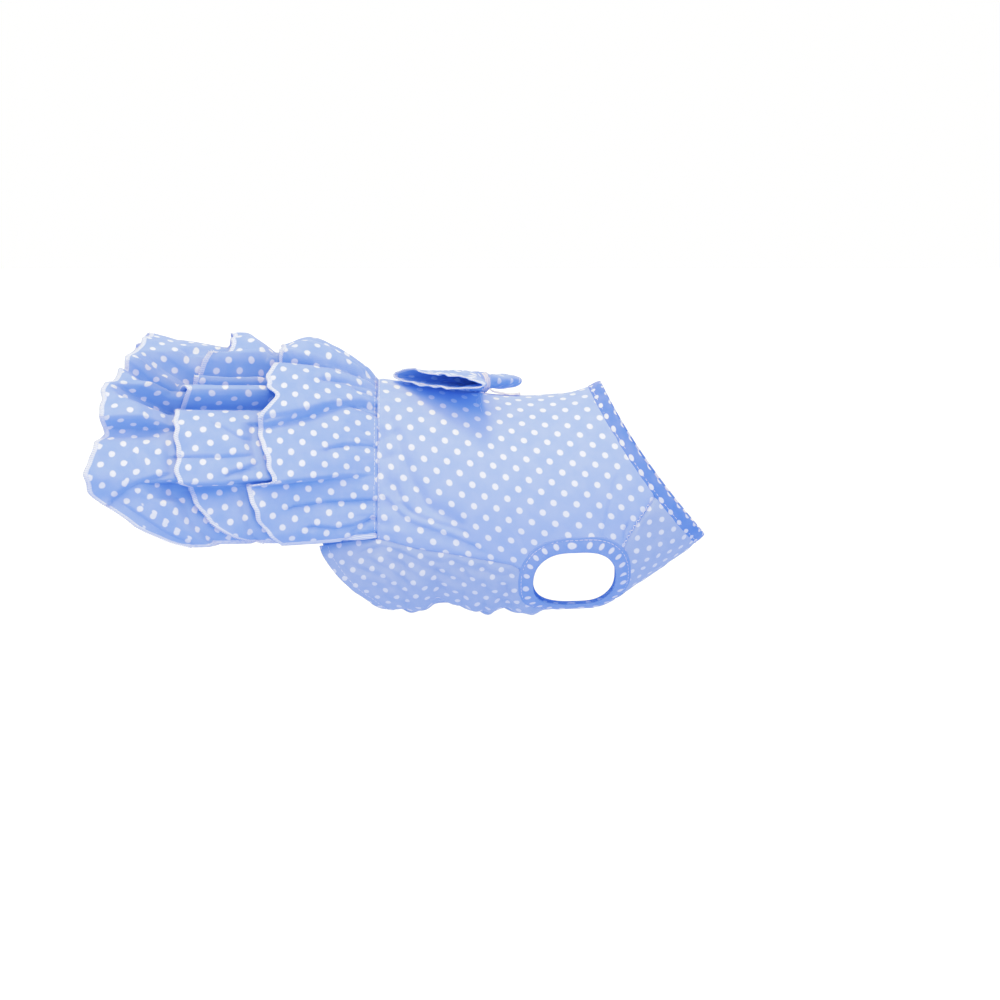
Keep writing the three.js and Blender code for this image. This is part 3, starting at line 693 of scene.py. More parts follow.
# Ruffles: three strips of the cotton with serged edges, each gathered on a thread to the waist's
# length. They are laid on each other, the shortest outermost, and sewn into the waist seam together.
# Small gathers run out of the seam and merge into the wide folds, the same ones in all three.
GAP = 0.3
SKIRT_LENGTH = 150.0
SKIRT_RISE = 11.0
SKIRT_SPREAD = 20.0
FOLD_DEPTH = 10.0
WAIST_LAYER = CLOTH + GAP
LOOSE_LAYER = 3 * CLOTH
LOOSE_AFTER = 20 * CLOTH
RUFFLE_SOFTENING = 1.5 * CLOTH
FOLD_SPACING = 0.06
RUFFLE_SLOPE = 0.8
CROWN_AT = 0.7
skirt_bell = table(
    "at rise spread end",
    (0, 0, 0, 112), (0.1, 0.5, 0.2, 113), (0.3, 0.95, 0.55, 114.5), (0.6, 1, 0.8, 115), (1, 1, 1, 115),
)
ruffles = [
    {
        "name": "top_ruffle",
        "length": 60.0,
        "cells": (420, 84),
        "grain": -11,
        "folds": table(
            "at reach crown edge",
            (0, 0.79, 1.1, 0.45), (0.1, 0.79, 0.95, 0.62), (0.18, 0.8, 0.66, 0.9),
            (0.196, 0.82, -0.2, -0.1), (0.24, 0.86, 0.34, 0.58), (0.3, 0.91, 0.45, 0.5),
            (0.35, 0.913, 0.5, 0.5), (0.4, 0.837, 0.5, 0.6), (0.49, 0.948, 0.6, 0.65),
            (0.515, 0.975, 0.62, 0.62), (0.532, 0.982, 0.05, 0.15), (0.6, 0.95, 0.35, 0.35),
            (0.68, 0.9, 0.55, 0.5), (0.75, 0.862, 0.62, 0.65), (0.763, 1.067, 0, 0),
            (0.82, 1.035, 0.15, 0.2), (0.88, 0.99, 0.25, 0.3), (0.94, 0.905, 0.3, 0.3), (1, 0.778, 0, 0),
        ),
        "creases": (
            crease(2.6, 4, (-88, 20), (-71.4, 15), (-60, 10.5), (-53, 7)),
            crease(2.0, 2.5, (-68.4, 13), (-60, 8.5), (-53, 5)),
            crease(2.4, 3, (-83, 10.1), (-71.4, 8.5), (-60, 5.1), (-53.5, 2.4)),
            crease(1.8, 2.5, (-67, 4.8), (-59, 2.2), (-53, 0)),
            crease(2.4, 8, (-111, -8.5), (-96, -6), (-82.5, -2.8), (-69, -1.3), (-62, -2), (-55, -3.8)),
            crease(2.2, 3, (-68.4, -2.6), (-62, -6), (-55, -8.5)),
            crease(1.5, 2.5, (-63, -2.5), (-55, -6)),
            crease(1.9, 6, (-79.5, -24), (-69, -22.5), (-58, -23.5)),
            crease(2.3, 7, (-97, -53), (-82.5, -51), (-58, -50)),
            crease(1.8, 5, (-88.5, -63), (-76.5, -64), (-67, -62.5), (-58, -59)),
            crease(1.5, 3, (-73, -70), (-66, -67), (-58, -66), (-54, -69)),
            crease(1.4, 3, (-68, -66), (-63, -62), (-58, -59)),
        ),
    },
    {
        "name": "middle_ruffle",
        "length": 105.0,
        "cells": (400, 102),
        "grain": -8,
        "folds": table(
            "at reach crown edge",
            (0, 0.69, 1.35, 1.15), (0.09, 0.69, 1.2, 0.95), (0.135, 0.71, 0.85, 0.6),
            (0.155, 0.8, 0.65, 0.65), (0.168, 0.86, -0.9, -0.9), (0.22, 0.87, -0.35, -0.3),
            (0.236, 0.89, -1.6, -1.5), (0.3, 0.93, -0.7, -0.6), (0.325, 0.91, 0.1, 0.05),
            (0.35, 0.9, 0.15, 0.05), (0.365, 0.94, -1.6, -1.5), (0.45, 0.95, -0.2, -0.1),
            (0.54, 0.954, 0.3, 0.3), (0.645, 0.94, 0.45, 0.45), (0.7, 0.945, 0.5, 0.6),
            (0.748, 0.935, 0.5, 0.7), (0.762, 0.887, -0.3, -0.3), (0.82, 0.86, 0, 0),
            (0.88, 0.8, 0.15, 0.2), (0.94, 0.71, 0.2, 0.2), (1, 0.53, 0, 0),
        ),
        "creases": (
            crease(1.5, 6, (-134.5, -12.5), (-123.5, -19), (-112, -23)),
            crease(1.6, 7, (-155, -28), (-133.5, -28), (-108, -27)),
            crease(2.4, 5, (-128, -36), (-116, -32), (-108, -29)),
        ),
    },
    {
        "name": "bottom_ruffle",
        "length": 150.0,
        "cells": (380, 112),
        "grain": -24,
        "folds": table(
            "at reach crown edge",
            (0, 0.757, 0.6, 1.1), (0.1, 0.785, 0.65, 0.9), (0.2, 0.831, 0.6, 0.6),
            (0.3, 0.86, 0.55, 0.5), (0.335, 0.872, 0.55, 0.5), (0.35, 0.9, 0.55, 0.5), (0.45, 0.91, 0.7, 0.7),
            (0.505, 0.912, 0.85, 0.75), (0.522, 0.9, -0.35, -0.35), (0.56, 0.9, -0.1, -0.15),
            (0.6, 0.927, 0.3, 0.3), (0.655, 0.944, 0.45, 0.5), (0.73, 0.961, 0.55, 0.8),
            (0.77, 0.951, 0.5, 0.6), (0.81, 0.92, 0.3, 0.3), (0.85, 0.865, 0.3, 0.35),
            (0.91, 0.787, 0.25, 0.3), (0.965, 0.705, 0.15, 0.2), (1, 0.61, 0, 0),
        ),
        "creases": (
            crease(2.6, 9, (-187, -50), (-180.5, -44), (-173.5, -40.5), (-162, -37), (-150, -35)),
            crease(1.2, 6, (-180, -52), (-160, -66), (-150, -70)),
            valley(0.9, 5, (-178, 8), (-165, 12), (-150, 14)),
        ),
    },
]


def smooth_min(a, b, size):
    near = np.maximum(size - abs(a - b), 0) / size
    return np.minimum(a, b) - near * near * size / 4


def fold_value(tier, column, place):
    value = value_at(ruffles[tier]["folds"], column, abs(place))
    drift = np.where(place > 0, np.sin(7 * place + tier) * np.minimum(1, 8 * abs(place)), 0)
    return value * (1 + 0.03 * drift) if column == "reach" else value * (1 - 0.25 * drift)


def ruffle_reach(tier, place):
    return ruffles[tier]["length"] * fold_value(tier, "reach", place)


def covered_reach(tier, place):
    beside = [np.clip(place + shift, -1, 1) for shift in (-FOLD_SPACING, 0, FOLD_SPACING)]
    return np.maximum.reduce([ruffle_reach(tier - 1, near) for near in beside]) + LOOSE_LAYER


def fold_profile(share, crown, edge):
    """Height of a fold along its cloth: nothing in the seam, crown at its fullest, edge at its end."""
    share = np.clip(share, 0, 1)
    first, second = crown / CROWN_AT, (edge - crown) / (1 - CROWN_AT)
    same = first * second > 0
    middle = np.where(same, 2 * first * second / np.where(same, first + second, 1), 0)
    rising = hermite(share / CROWN_AT, CROWN_AT, 0, crown, first, middle)
    falling = hermite((share - CROWN_AT) / (1 - CROWN_AT), 1 - CROWN_AT, crown, edge, middle, second)
    return np.where(share < CROWN_AT, rising, falling)


GATHER_LENGTH = 54.0
WALL_CLEARANCE = 0.014
waist_folds = table("at edge", (0, 0), (0.137, 0.19), (0.327, 0.52), (0.708, 0.757), (0.818, 0.847), (1, 1))


def folded_place(place, distance):
    """Which fold of the free edge a place belongs to: nearer the waist the folds crowd towards the bow."""
    near_waist = np.sign(place) * value_at(waist_folds, "edge", abs(place))
    return mix(near_waist, place, np.clip(distance / GATHER_LENGTH, 0, 1))


def ruffle_lift(tier, place, distance):
    share = distance / ruffle_reach(tier, place)
    folded = folded_place(place, distance)
    crown, edge = (FOLD_DEPTH * fold_value(tier, name, folded) for name in ("crown", "edge"))
    own = fold_profile(share, crown, edge) - tier * WAIST_LAYER * np.clip(1 - share, 0, None)
    if tier == 0:
        return own
    covered = np.minimum(distance, covered_reach(tier, place))
    layer = mix(WAIST_LAYER, LOOSE_LAYER, smooth_step(distance, 0, LOOSE_AFTER))
    beside = [np.clip(place + shift, -1, 1) for shift in (-WALL_CLEARANCE, 0, WALL_CLEARANCE)]
    above = np.minimum.reduce([ruffle_lift(tier - 1, near, covered) for near in beside])
    return smooth_min(own, above - layer + RUFFLE_SLOPE * (distance - covered), RUFFLE_SOFTENING)


def skirt_point(place, distance, lift):
    bell = {name: value_at(skirt_bell, name, distance / SKIRT_LENGTH) for name in ("rise", "spread", "end")}
    waist = {name: value_at(bodice_sections, name, 0) for name in ("top_z", "bottom_z", "half")}
    angle = place * np.radians(bell["end"])
    rise = SKIRT_RISE * bell["rise"]
    height = CHEST_DEPTH * (waist["top_z"] - waist["bottom_z"]) / 2 + 0.75 * rise
    half = CHEST_WIDTH * waist["half"] + SKIRT_SPREAD * bell["spread"]
    out = unit(np.stack([0 * angle, np.sin(angle) / half, np.cos(angle) / height], -1))
    top = CLOTH / 2 + CHEST_DEPTH * waist["top_z"] + rise
    base = np.stack([WAIST_X - GAP - distance, half * np.sin(angle), top - height * (1 - np.cos(angle))], -1)
    return base + out * np.asarray(lift)[..., None], out


def gathers(place, distance):
    """Small folds with sharp valleys, deep near the gathering thread and gone where the cloth is wide."""
    fine = 2 * abs(np.sin(58 * place + 1.1 * np.sin(9 * place) + 0.7 * np.sin(23 * place + 1))) - 1
    broad = 2 * abs(np.sin(23 * place + 1.0 * np.sin(6 * place + 1) + 0.4 * np.sin(17 * place))) - 1
    by_bow = np.exp(-((place / 0.3) ** 2))
    strength = 0.5 + 0.3 * np.sin(13 * place + 2) + 0.2 * np.sin(31 * place) + 0.8 * by_bow
    start = smooth_step(distance, 0, 5)
    return start * strength * (0.8 * fine * np.exp(-distance / 9) + 0.9 * broad * np.exp(-distance / 30))


def ruffle_surface(tier, place, distance):
    """Middle of a ruffle's cloth, with its gathers and creases and those of the ones above it."""
    lift = ruffle_lift(tier, place, distance)
    points, out = skirt_point(place, distance, lift)
    base = points
    relief = gathers(place, distance)
    for above in range(tier + 1):
        reach = ruffle_reach(above, place)
        opened, ended = 1, 1
        if above:
            covered = covered_reach(above, place)
            opened = smooth_step(distance, covered - 3, covered + 5)
        if above < tier:
            ended = 1 - smooth_step(distance, reach - 2, reach + 12)
        wrinkles = 0.55 * wander(points, 17, 20 + above) + 0.25 * wander(points, 7, 30 + above)
        wrinkles = smooth_step(distance, 6, 20) * wrinkles
        relief = relief + opened * ended * (wrinkles - crease_depth(points, ruffles[above]["creases"]))
    return points + out * relief[..., None], out, base


SEAM_TUCK = 0.7
GATHER_SPREAD = 0.4
RUFFLE_PATTERN = (30, 300)


def make_ruffle(tier):
    ruffle = ruffles[tier]
    columns, rows = ruffle["cells"]
    u, share = grid_shares(columns, rows)
    place = 2 * u - 1
    ragged = 0.35 * np.sin(61 * place) + 0.3 * np.sin(97 * place + tier)
    distance = share * (ruffle_reach(tier, place) + ragged)
    points, out, base = ruffle_surface(tier, place, distance)
    tuck = SEAM_TUCK * np.exp(-distance / SEAM_TUCK)
    points = points - out * tuck[..., None] + (1, 0, 0) * tuck[..., None]
    around, down = run_length(base * (0, 1, 1), 1), run_length(base, 0)
    around -= around[:, columns // 2, None]
    halves = np.where(place < 0, -around[:, :1], around[:, -1:])
    stretch = (halves[-1:] / halves) ** GATHER_SPREAD
    ripple = 0.4 * np.sin(around[-1] / 2.3) + 0.4 * np.sin(around[-1] / 4.1 + tier)
    curl = smooth_step(share, 0.86, 1) * ripple
    points = points + out * curl[..., None]
    flat = np.stack([around * stretch, down], -1)
    free = down[-1:] - down
    ends = halves - abs(around)
    pattern = unroll(base, np.stack([around, down], -1), RUFFLE_PATTERN)
    printed = on_grain(pattern, ruffle["grain"], (tier, tier))
    piece = add_grid(ruffle["name"] + "_cloth", columns, rows)
    shape_cloth(piece, points, printed, COTTON_THICKNESS, np.minimum(free, ends))
    piece.data.materials.append(serged_cotton)
    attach(piece, "root")
    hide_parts(ruffle["name"])
    size, area = flat_size(flat)
    return points


ruffle_points = [make_ruffle(tier) for tier in range(3)]

# Bow: a doubled strip of the cotton pinched in at its middle. Its two wings open into flat pouches
# with serged mouths. The near wing lies towards the waist, the far one across the back.
BOW_X = -3.0
KNOT_WIDTH = 6.4
KNOT_HEIGHT = 9.4
RIBBON_WIDTH = 3.6
WING_LENGTH = 36.0
WING_CELLS = (160, 60)
BOW_THICKNESS = 0.6
WELD = 0.00002
bow_wings = (
    {
        "name": "right_bow_loop", "side": -1, "heading": 229, "width": 60, "squareness": 1.7, "undercut": 0,
        "arch": 0.6, "droop": 2.0, "tilt": -1.5, "upper": 5.0, "lower": 3.0, "mouth": 3.1, "corner": 2.2,
        "upper_lip": -4.0, "lower_lip": 0.8, "jags": 0.9,
    },
    {
        "name": "left_bow_loop", "side": 1, "heading": 103, "width": 52, "squareness": 3.6, "undercut": 0.12,
        "arch": 0.3, "droop": -1.2, "tilt": 0.3, "upper": 3.4, "lower": 3.2, "mouth": 3.2, "corner": 0,
        "upper_lip": 0.0, "lower_lip": -5.0, "jags": 0.2,
    },
)


def back_station(x):
    low, high = np.zeros_like(x), np.ones_like(x)
    for _ in range(30):
        middle = (low + high) / 2
        behind = bodice_point(middle, np.zeros_like(x))[..., 0] < x
        low, high = np.where(behind, middle, low), np.where(behind, high, middle)
    return low


def level(heading):
    return np.array([math.cos(math.radians(heading)), math.sin(math.radians(heading)), 0])


knot_base = bodice_point(back_station(np.array(BOW_X)), np.array(0.0))[2] + CLOTH / 2 + GAP
knot_middle = np.array([BOW_X, 0, knot_base + KNOT_HEIGHT / 2])
knot_axis = level(40)


def make_wing(wing):
    turn, along = grid_shares(*WING_CELLS)
    turn = turn * 2 * math.pi
    power = 2 / wing["squareness"]
    across = np.sign(np.cos(turn)) * abs(np.cos(turn)) ** power
    high = np.sign(np.sin(turn)) * abs(np.sin(turn)) ** power
    upper = high > 0
    out, end_across = level(wing["heading"]), level(wing["heading"] + 90)
    knot_across = np.cross(knot_axis * wing["side"], (0, 0, -1))
    start = knot_middle + knot_axis * wing["side"] * (RIBBON_WIDTH / 2 - 0.4)
    opened = mix(np.sin(along * math.pi / 2), smooth_step(along, 0, 1), 0.6)
    direction = unit(mix(knot_across, end_across, opened[..., None]))
    half = mix(KNOT_WIDTH / 2 - 0.5, wing["width"] / 2 - 0.5, opened**1.15)
    half = half * (1 - wing["undercut"] * np.clip(-high, 0, 1) * smooth_step(along, 0, 0.3))
    full = mix(wing["lower"], wing["upper"], upper)
    tall = mix(KNOT_HEIGHT / 2 - 1.0, full, smooth_step(along, 0, 0.4))
    tall = mix(tall, wing["mouth"], smooth_step(along, 0.5, 1))
    height = high * tall
    body = 1 - across**2
    pleats = 2 * abs(np.sin(across * 7.5 + 0.8 * np.sin(5 * across) + 0.7 * upper)) - 1
    height += body * pleats * (1.6 * np.exp(-along * 4.5) * smooth_step(along, 0, 0.08) + 0.3)
    height += wing["arch"] * np.sin(math.pi * along) + along**2 * (wing["droop"] + wing["tilt"] * across)
    height += upper * wing["corner"] * np.exp(-(((across + 0.7) / 0.3) ** 2)) * along**2
    jags = wing["jags"] * (np.sin(11 * across) + 0.6 * np.sin(27 * across + 1))
    lip = np.where(upper, wing["upper_lip"] + jags, wing["lower_lip"]) * abs(high)
    distance = along * (WING_LENGTH * (1 - 0.08 * across**2 * along) + lip * smooth_step(along, 0.6, 1))
    points = start + distance[..., None] * out + (across * half)[..., None] * direction
    points[..., 2] += height
    crumple = 0.5 * wander(points, 9, wing["side"] + 40) + 0.25 * wander(points, 3.5, wing["side"] + 42)
    points[..., 2] += crumple * smooth_step(along, 0, 0.25)
    around = run_length(points[-1:], 1)[0]
    down = run_length(points, 0)
    tapered = (around - around[-1] / 2) * (0.45 + 0.55 * opened)
    flat = np.stack([tapered, down], -1)
    free = down[-1:] - down
    piece = shape_cloth(add_grid(wing["name"] + "_cloth", *WING_CELLS), points, flat, BOW_THICKNESS, free)
    clean_mesh(weld=WELD)
    piece.data.materials.append(serged_cotton)
    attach(piece, "root")
    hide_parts(wing["name"])
    size, area = flat_size(flat)


for wing in bow_wings:
    make_wing(wing)

# Ribbon of the bow: off-white ribbed ribbon wrapped twice round the pinched middle, with one short
# end left lying along the back in front of it.
RIBBON_THREAD = srgb(228, 229, 238)
RIBBON_SHADE = srgb(176, 178, 205)
RIBBON_THICKNESS = 1.0
RIBBON_END_LENGTH = 14.0
RIB_PITCH = 0.55
KNOT_CELLS = (120, 24)
KNOT_WALL = 0.7
RIBBON_CELLS = (24, 60)
RIBBON_WALL = 0.5


def ribbed_ribbon():
    material, tree, shader = new_material("ribbed ribbon")
    cloth = add_node(tree, "ShaderNodeUVMap", {"uv_map": "UVMap"}).outputs[0]
    wave = add_node(tree, "ShaderNodeTexWave", Vector=cloth, Scale=WAVE_PER_MM / RIB_PITCH, Distortion=0.8)
    ribs = wave.outputs["Fac"]
    fuzz = add_node(tree, "ShaderNodeTexNoise", Vector=cloth, Scale=3.0, Detail=3.0).outputs["Fac"]
    between = map_range(tree, ribs, 0, 0.7, 1, 0)
    shade = scalar_math(tree, "MULTIPLY", between, map_range(tree, fuzz, 0.2, 0.8, 0.9, 0.5))
    colour = mix_colour(tree, shade, RIBBON_THREAD, RIBBON_SHADE)
    height = scalar_math(tree, "ADD", ribs, scalar_math(tree, "MULTIPLY", fuzz, 0.4))
    set_inputs(tree, shader, Base_Color=colour, Normal=bumps(tree, height, 0.6, 0.00015))
    set_inputs(tree, shader, Roughness=0.6, Sheen_Weight=0.2)
    return material


ribbon_cloth = ribbed_ribbon()


def make_knot():
    turn, across = grid_shares(*KNOT_CELLS)
    turn, across = turn * 2 * math.pi, 2 * across - 1
    up = np.array([0, 0, 1.0])
    side = np.cross(up, knot_axis)
    edge_round = 0.35 * abs(across) ** 6
    wrap = 0.22 * np.sin(turn / 2 + across * 2.2) + 0.12 * np.sin(3 * turn + across)
    crease = 0.25 * np.exp(-(((across - 0.25 * np.sin(turn)) / 0.12) ** 2))
    shrink = RIBBON_THICKNESS / 2 - 0.15 + edge_round + crease - wrap
    x = (KNOT_WIDTH / 2 - shrink) * np.sin(turn)
    z = (KNOT_HEIGHT / 2 - shrink) * np.cos(turn)
    wide = across * RIBBON_WIDTH / 2
    points = knot_middle + x[..., None] * side + z[..., None] * up + wide[..., None] * knot_axis
    flat = np.stack([wide, run_length(points, 1)], -1)
    piece = shape_cloth(add_grid("bow_knot_ribbon", *KNOT_CELLS), points, flat, KNOT_WALL)
    clean_mesh(weld=WELD)
    piece.data.materials.append(ribbon_cloth)
    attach(piece, "root")
    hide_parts("bow_knot")


def make_ribbon_end():
    u, along = grid_shares(*RIBBON_CELLS)
    across = 2 * u - 1
    ragged = 0.25 * np.sin(across * 17) * smooth_step(along, 0.9, 1)
    x = BOW_X + KNOT_WIDTH / 2 - 0.5 + along * (RIBBON_END_LENGTH + 1.2 + ragged)
    station = back_station(x)
    offset = across * RIBBON_WIDTH / 2 - RIBBON_WIDTH / 2
    half = CHEST_WIDTH * value_at(bodice_sections, "half", station)
    points = bodice_point(station, np.arcsin(offset / half))
    lift = 0.95 + 2.0 * np.exp(-along * 9) + 0.5 * np.sin(along * 7) * along + 0.25 * across * along
    points[..., 2] += lift
    flat = np.stack([run_length(points, 0), run_length(points, 1)], -1)
    piece = shape_cloth(add_grid("ribbon_end_strip", *RIBBON_CELLS), points, flat, RIBBON_WALL)
    piece.data.materials.append(ribbon_cloth)
    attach(piece, "root")
    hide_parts("ribbon_end")


make_knot()
make_ribbon_end()

# Stitching: white thread in two rows round the waist seam, one row on each binding and one on the
# belly hem, zigzags over the shoulder seams, the overlocking loops that bind the ruffles' free edges,
# and two loose ends by the knot.
THREAD_WHITE = srgb(226, 231, 247)
THREAD_SHADE = srgb(168, 184, 226)
STITCH_LENGTH = 2.2
STITCH_STEP = 2.4
THREAD_WIDTH = 0.3
THREAD_STAND_OFF = 0.42
WAIST_ROW_AT = 1.4
BODICE_ROW_AT = 1.1
USUAL_REACH = 0.85
HEM_ROW_INSET = 0.7
BAND_STAND_OFF = BAND_THICKNESS / 2 - 0.3
SHOULDER_SEAM = (0.72, 0.93)
ZIGZAG_STEP = 1.5


def sewing_thread():
    material, tree, shader = new_material("sewing thread")
    place = add_node(tree, "ShaderNodeTexCoord").outputs["Object"]
    slanted = {"bands_direction": "DIAGONAL"}
    twist = add_node(tree, "ShaderNodeTexWave", slanted, Vector=place, Scale=900.0, Distortion=2.0)
    twist = twist.outputs["Fac"]
    fuzz = add_node(tree, "ShaderNodeTexNoise", Vector=place, Scale=1800.0, Detail=2.0).outputs["Fac"]
    shade = scalar_math(tree, "MULTIPLY", map_range(tree, twist, 0, 0.6, 0.6, 0), fuzz)
    colour = mix_colour(tree, shade, THREAD_WHITE, THREAD_SHADE)
    set_inputs(tree, shader, Base_Color=colour, Normal=bumps(tree, twist, 0.4, 0.0001), Roughness=0.75)
    return material


thread = sewing_thread()


def evenly(path, out, step):
    """Points at even steps along a path, with the path's direction and the way out of the cloth there."""
    run = run_length(path, 0)
    at = np.arange(step / 2, run[-1], step)

    def rows_at(rows, where):
        return np.stack([np.interp(where, run, column) for column in rows.T], -1)

    along = unit(rows_at(path, at + step / 3) - rows_at(path, at - step / 3))
    away = rows_at(out, at)
    away = unit(away - along * np.sum(along * away, 1, keepdims=True))
    return rows_at(path, at), along, away


def add_stitches(name, places, along, away, length=STITCH_LENGTH, width=THREAD_WIDTH, flatness=1.0):
    """One short, sunken-ended stitch at each place, all in one mesh."""
    bpy.ops.object.select_all(action="DESELECT")
    bpy.ops.mesh.primitive_uv_sphere_add(segments=6, ring_count=5, radius=1)
    row = bpy.context.object
    single = np.empty(len(row.data.vertices) * 3)
    row.data.vertices.foreach_get("co", single)
    single = single.reshape(-1, 3)[:, [2, 0, 1]]
    faces = [tuple(face.vertices) for face in row.data.polygons]
    run = single[:, 0] * length / 2
    side = single[:, 1] * width / 2
    up = flatness * (single[:, 2] * width / 2 - 0.45 * width * single[:, 0] ** 2)
    across = np.cross(along, away)
    points = (
        places[:, None] + along[:, None] * run[None, :, None]
        + across[:, None] * side[None, :, None] + away[:, None] * up[None, :, None]
    )
    count = len(single)
    mesh = bpy.data.meshes.new(name)
    all_faces = [tuple(corner + i * count for corner in face) for i in range(len(places)) for face in faces]
    mesh.from_pydata((points.reshape(-1, 3) * MM).tolist(), [], all_faces)
    row.name = name
    row.data = mesh
    clean_mesh(turn_out=True)
    bpy.ops.object.shade_smooth()
    mesh.materials.append(thread)
    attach(row, "root")


def outward(points):
    normal = facing(points)
    middle = points.reshape(-1, 3).mean(0)
    flip = np.sign(np.sum(normal * (points - middle) * (0, 1, 1), axis=(0, 1, 2)))
    return normal * flip


top_out = outward(ruffle_points[0])
row = round(WAIST_ROW_AT / ruffles[0]["length"] / USUAL_REACH * ruffles[0]["cells"][1])
path = ruffle_points[0][row] + top_out[row] * THREAD_STAND_OFF
add_stitches("waist_stitches", *evenly(path, top_out[row], STITCH_STEP))


def bodice_stitches(name, station, angle, stand_off):
    """A row of stitches along a line on the bodice's outer face."""
    signed = np.where(angle > math.pi, angle - 2 * math.pi, angle)
    normal = bodice_normal(station, signed)
    path = bodice_point(station, angle) + normal * stand_off
    add_stitches(name, *evenly(path, normal, STITCH_STEP))


across_waist = np.linspace(-1, 1, 400) * seam_angle(0)
by_waist = np.full(across_waist.shape, BODICE_ROW_AT / BODICE_LENGTH)
bodice_stitches("bodice_edge_stitches", by_waist, across_waist, 0.1)
neck_turn = np.linspace(0, 2 * math.pi, 600)
neck_line = neck_edge(NECK_BAND - STITCH_INSET, neck_turn)
bodice_stitches("neck_binding_stitches", *neck_line, BAND_STAND_OFF)
for side, name in ((-1, "right"), (1, "left")):
    leg_line = leg_edge(side)(LEG_BAND - STITCH_INSET, neck_turn)
    bodice_stitches(name + "_armhole_stitches", *leg_line, BAND_STAND_OFF)
    seam_station = np.linspace(*SHOULDER_SEAM, 60)
    seam_turn = side * (seam_angle(seam_station) - 0.02)
    seam_normal = bodice_normal(seam_station, seam_turn)
    seam_path = bodice_point(seam_station, seam_turn) + seam_normal * 0.25
    places, along, away = evenly(seam_path, seam_normal, ZIGZAG_STEP)
    sway = np.where(np.arange(len(along)) % 2, 0.9, -0.9)[:, None]
    slanted = unit(along + np.cross(along, away) * sway)
    add_stitches(name + "_shoulder_stitches", places, slanted, away, length=1.9, width=0.45)

belly_rows = np.arange(len(belly_points))
hem_row = np.array([np.interp(HEM_WIDTH - HEM_ROW_INSET, column, belly_rows) for column in belly_from_hem.T])
low_row = hem_row.astype(int)
hem_columns = np.arange(len(low_row))
hem_path, hem_ahead = belly_points[low_row, hem_columns], belly_points[low_row + 1, hem_columns]
hem_path = mix(hem_path, hem_ahead, (hem_row - low_row)[:, None])
hem_out = outward(belly_points)[low_row, hem_columns]
add_stitches("belly_hem_stitches", *evenly(hem_path + hem_out * THREAD_STAND_OFF, hem_out, STITCH_STEP))

SERGE_STEP = 1.05
SERGE_STAND_OFF = 0.36
for tier, ruffle in enumerate(ruffles):
    points = ruffle_points[tier]
    out = outward(points)
    edge, inner = points[-1], points[-1 - round(SERGE_WIDTH / ruffle["length"] * ruffle["cells"][1])]
    rows = []
    for face in (1, -1):
        path = (edge + inner) / 2 + out[-1] * face * SERGE_STAND_OFF
        places, along, away = evenly(path, out[-1] * face, SERGE_STEP)
        inwards = np.cross(away, along) * face
        rows.append((places, unit(inwards + along * 0.8), away))
    joined = [np.concatenate(parts) for parts in zip(*rows)]
    size = {"length": SERGE_WIDTH + 0.3, "width": 0.42, "flatness": 0.45}
    add_stitches(ruffle["name"] + "_overlocking", *joined, **size)


STRAND_RADIUS = 0.17
STRAND_WELD = 0.00001


def add_strand(name, path):
    """A loose end of thread along a path, thin towards both its ends."""
    sides = 6
    turn, along = grid_shares(sides, len(path) - 1)
    ahead = unit(np.gradient(path, axis=0))
    first = np.cross(ahead, (0, 1, 0))
    second = np.cross(ahead, first)
    size = STRAND_RADIUS * np.sqrt(np.clip(1 - (2 * along - 1) ** 8, 0, 1))[..., None]
    turn = turn[..., None] * 2 * math.pi
    points = path[:, None] + size * (np.cos(turn) * first[:, None] + np.sin(turn) * second[:, None])
    strand = add_grid(name, sides, len(path) - 1)
    strand.data.vertices.foreach_set("co", (points * MM).ravel())
    clean_mesh(weld=STRAND_WELD, turn_out=True)
    bpy.ops.object.shade_smooth()
    strand.data.materials.append(thread)
    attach(strand, "root")


loose_ends = table(
    "at station angle lift",
    (0, 0.41, -6, 1.0), (0.3, 0.398, -14, 1.6), (0.6, 0.402, -22, 0.8), (0.8, 0.392, -28, 0.9),
    (1, 0.397, -34, 0.7),
)
for number, lean in enumerate((0.0, -0.016)):
    share = np.linspace(0, 1, 30)
    station = value_at(loose_ends, "station", share) + lean * share
    angle = np.radians(value_at(loose_ends, "angle", share)) * (1 - 0.2 * number)
    lift = value_at(loose_ends, "lift", share)
    path = bodice_point(station, angle) + bodice_normal(station, angle) * lift[:, None]
    add_strand(f"bow_thread_end_{number + 1}", path)

# Floor: plain and white, with a glow of its own that hides all but the faintest shadow. The dress
# keeps its worn shape just above it, with nothing beneath.
FLOOR_Z = -0.1125
PAPER_GREY = (0.12, 0.12, 0.12, 1)
GLOW_SEEN = (0.9, 0.9, 0.9, 1)
GLOW_ON_CLOTH = (0.62, 0.68, 0.86, 1)
bpy.ops.object.select_all(action="DESELECT")
bpy.ops.mesh.primitive_grid_add(x_subdivisions=4, y_subdivisions=4, size=12, location=(0, 0, FLOOR_Z))
floor = bpy.context.object
floor.name = "floor"
bpy.ops.object.transform_apply(location=True, rotation=False, scale=False)
paper, paper_tree, paper_shader = new_material("white paper")
floor_seen = add_node(paper_tree, "ShaderNodeLightPath").outputs["Is Camera Ray"]
floor_glow = mix_colour(paper_tree, floor_seen, GLOW_ON_CLOTH, GLOW_SEEN)
set_inputs(paper_tree, paper_shader, Base_Color=PAPER_GREY, Roughness=0.9)
set_inputs(paper_tree, paper_shader, Emission_Color=floor_glow, Emission_Strength=1.0)
floor.data.materials.append(paper)

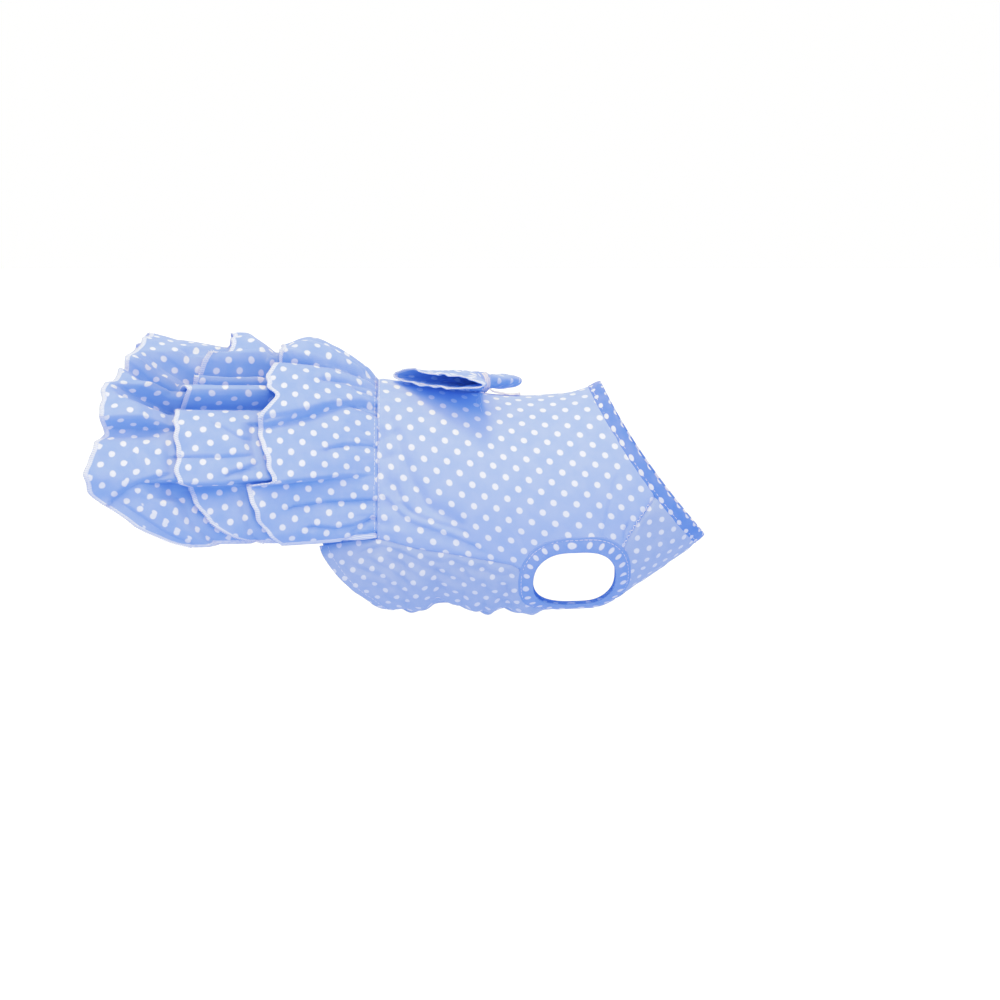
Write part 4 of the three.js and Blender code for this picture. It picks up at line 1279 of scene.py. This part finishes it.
# Light: a softbox overhead, a large one in front above the camera, a weak fill, one from behind, and
# a white room. The picture's red and blue are bent to the flat, cool look of such light.
WARM = (1.0, 0.74, 0.2)
ROOM_SEEN = (1, 1, 1, 1)
ROOM_ON_CLOTH = (0.36, 0.54, 0.92, 1)
RED_BENDS = ((0.12, 0.07), (0.42, 0.42))
BLUE_BENDS = ((0.3, 0.56), (0.5, 0.7), (0.75, 0.81), (0.95, 0.91))


def add_sun(name, elevation, azimuth, softness, power):
    bpy.ops.object.light_add(type="SUN", rotation=(math.radians(90 - elevation), 0, math.radians(azimuth)))
    sun = bpy.context.object
    sun.name = name
    sun.data.angle = math.radians(softness)
    sun.data.energy = power
    sun.data.color = WARM


add_sun("overhead softbox", 72, -12, 16, 1.2)
add_sun("front softbox", 42, -10, 45, 1.15)
add_sun("fill", 12, 5, 70, 0.7)
add_sun("rear softbox", 30, 172, 60, 1.3)
room = bpy.data.worlds.new("white room")
bpy.context.scene.world = room
room.use_nodes = True
sky = room.node_tree
seen = add_node(sky, "ShaderNodeLightPath").outputs["Is Camera Ray"]
walls = mix_colour(sky, seen, ROOM_ON_CLOTH, ROOM_SEEN)
set_inputs(sky, sky.nodes["Background"], Color=walls)
view = bpy.context.scene.view_settings
view.view_transform = "Standard"
view.use_curve_mapping = True
for curve, bends in zip(view.curve_mapping.curves, (RED_BENDS, (), BLUE_BENDS)):
    for place in bends:
        curve.points.new(*place)
view.curve_mapping.update()

# Camera: on the dress's right side, a little above it, and far enough away for a nearly flat view.
# The picture takes in half a metre at the dress.
PICTURE_WIDTH = 0.5
CAMERA_DISTANCE = 5.0
CAMERA_ELEVATION = 3
SENSOR_WIDTH = 36
aim = Vector((0.005, 0, -0.052))
elevation = math.radians(CAMERA_ELEVATION)
bpy.ops.object.camera_add(
    location=aim + CAMERA_DISTANCE * Vector((0, -math.cos(elevation), math.sin(elevation))),
    rotation=(math.pi / 2 - elevation, 0, 0),
)
camera = bpy.context.object
camera.name = "camera"
camera.data.sensor_width = SENSOR_WIDTH
camera.data.lens = SENSOR_WIDTH * CAMERA_DISTANCE / PICTURE_WIDTH
bpy.context.scene.camera = camera
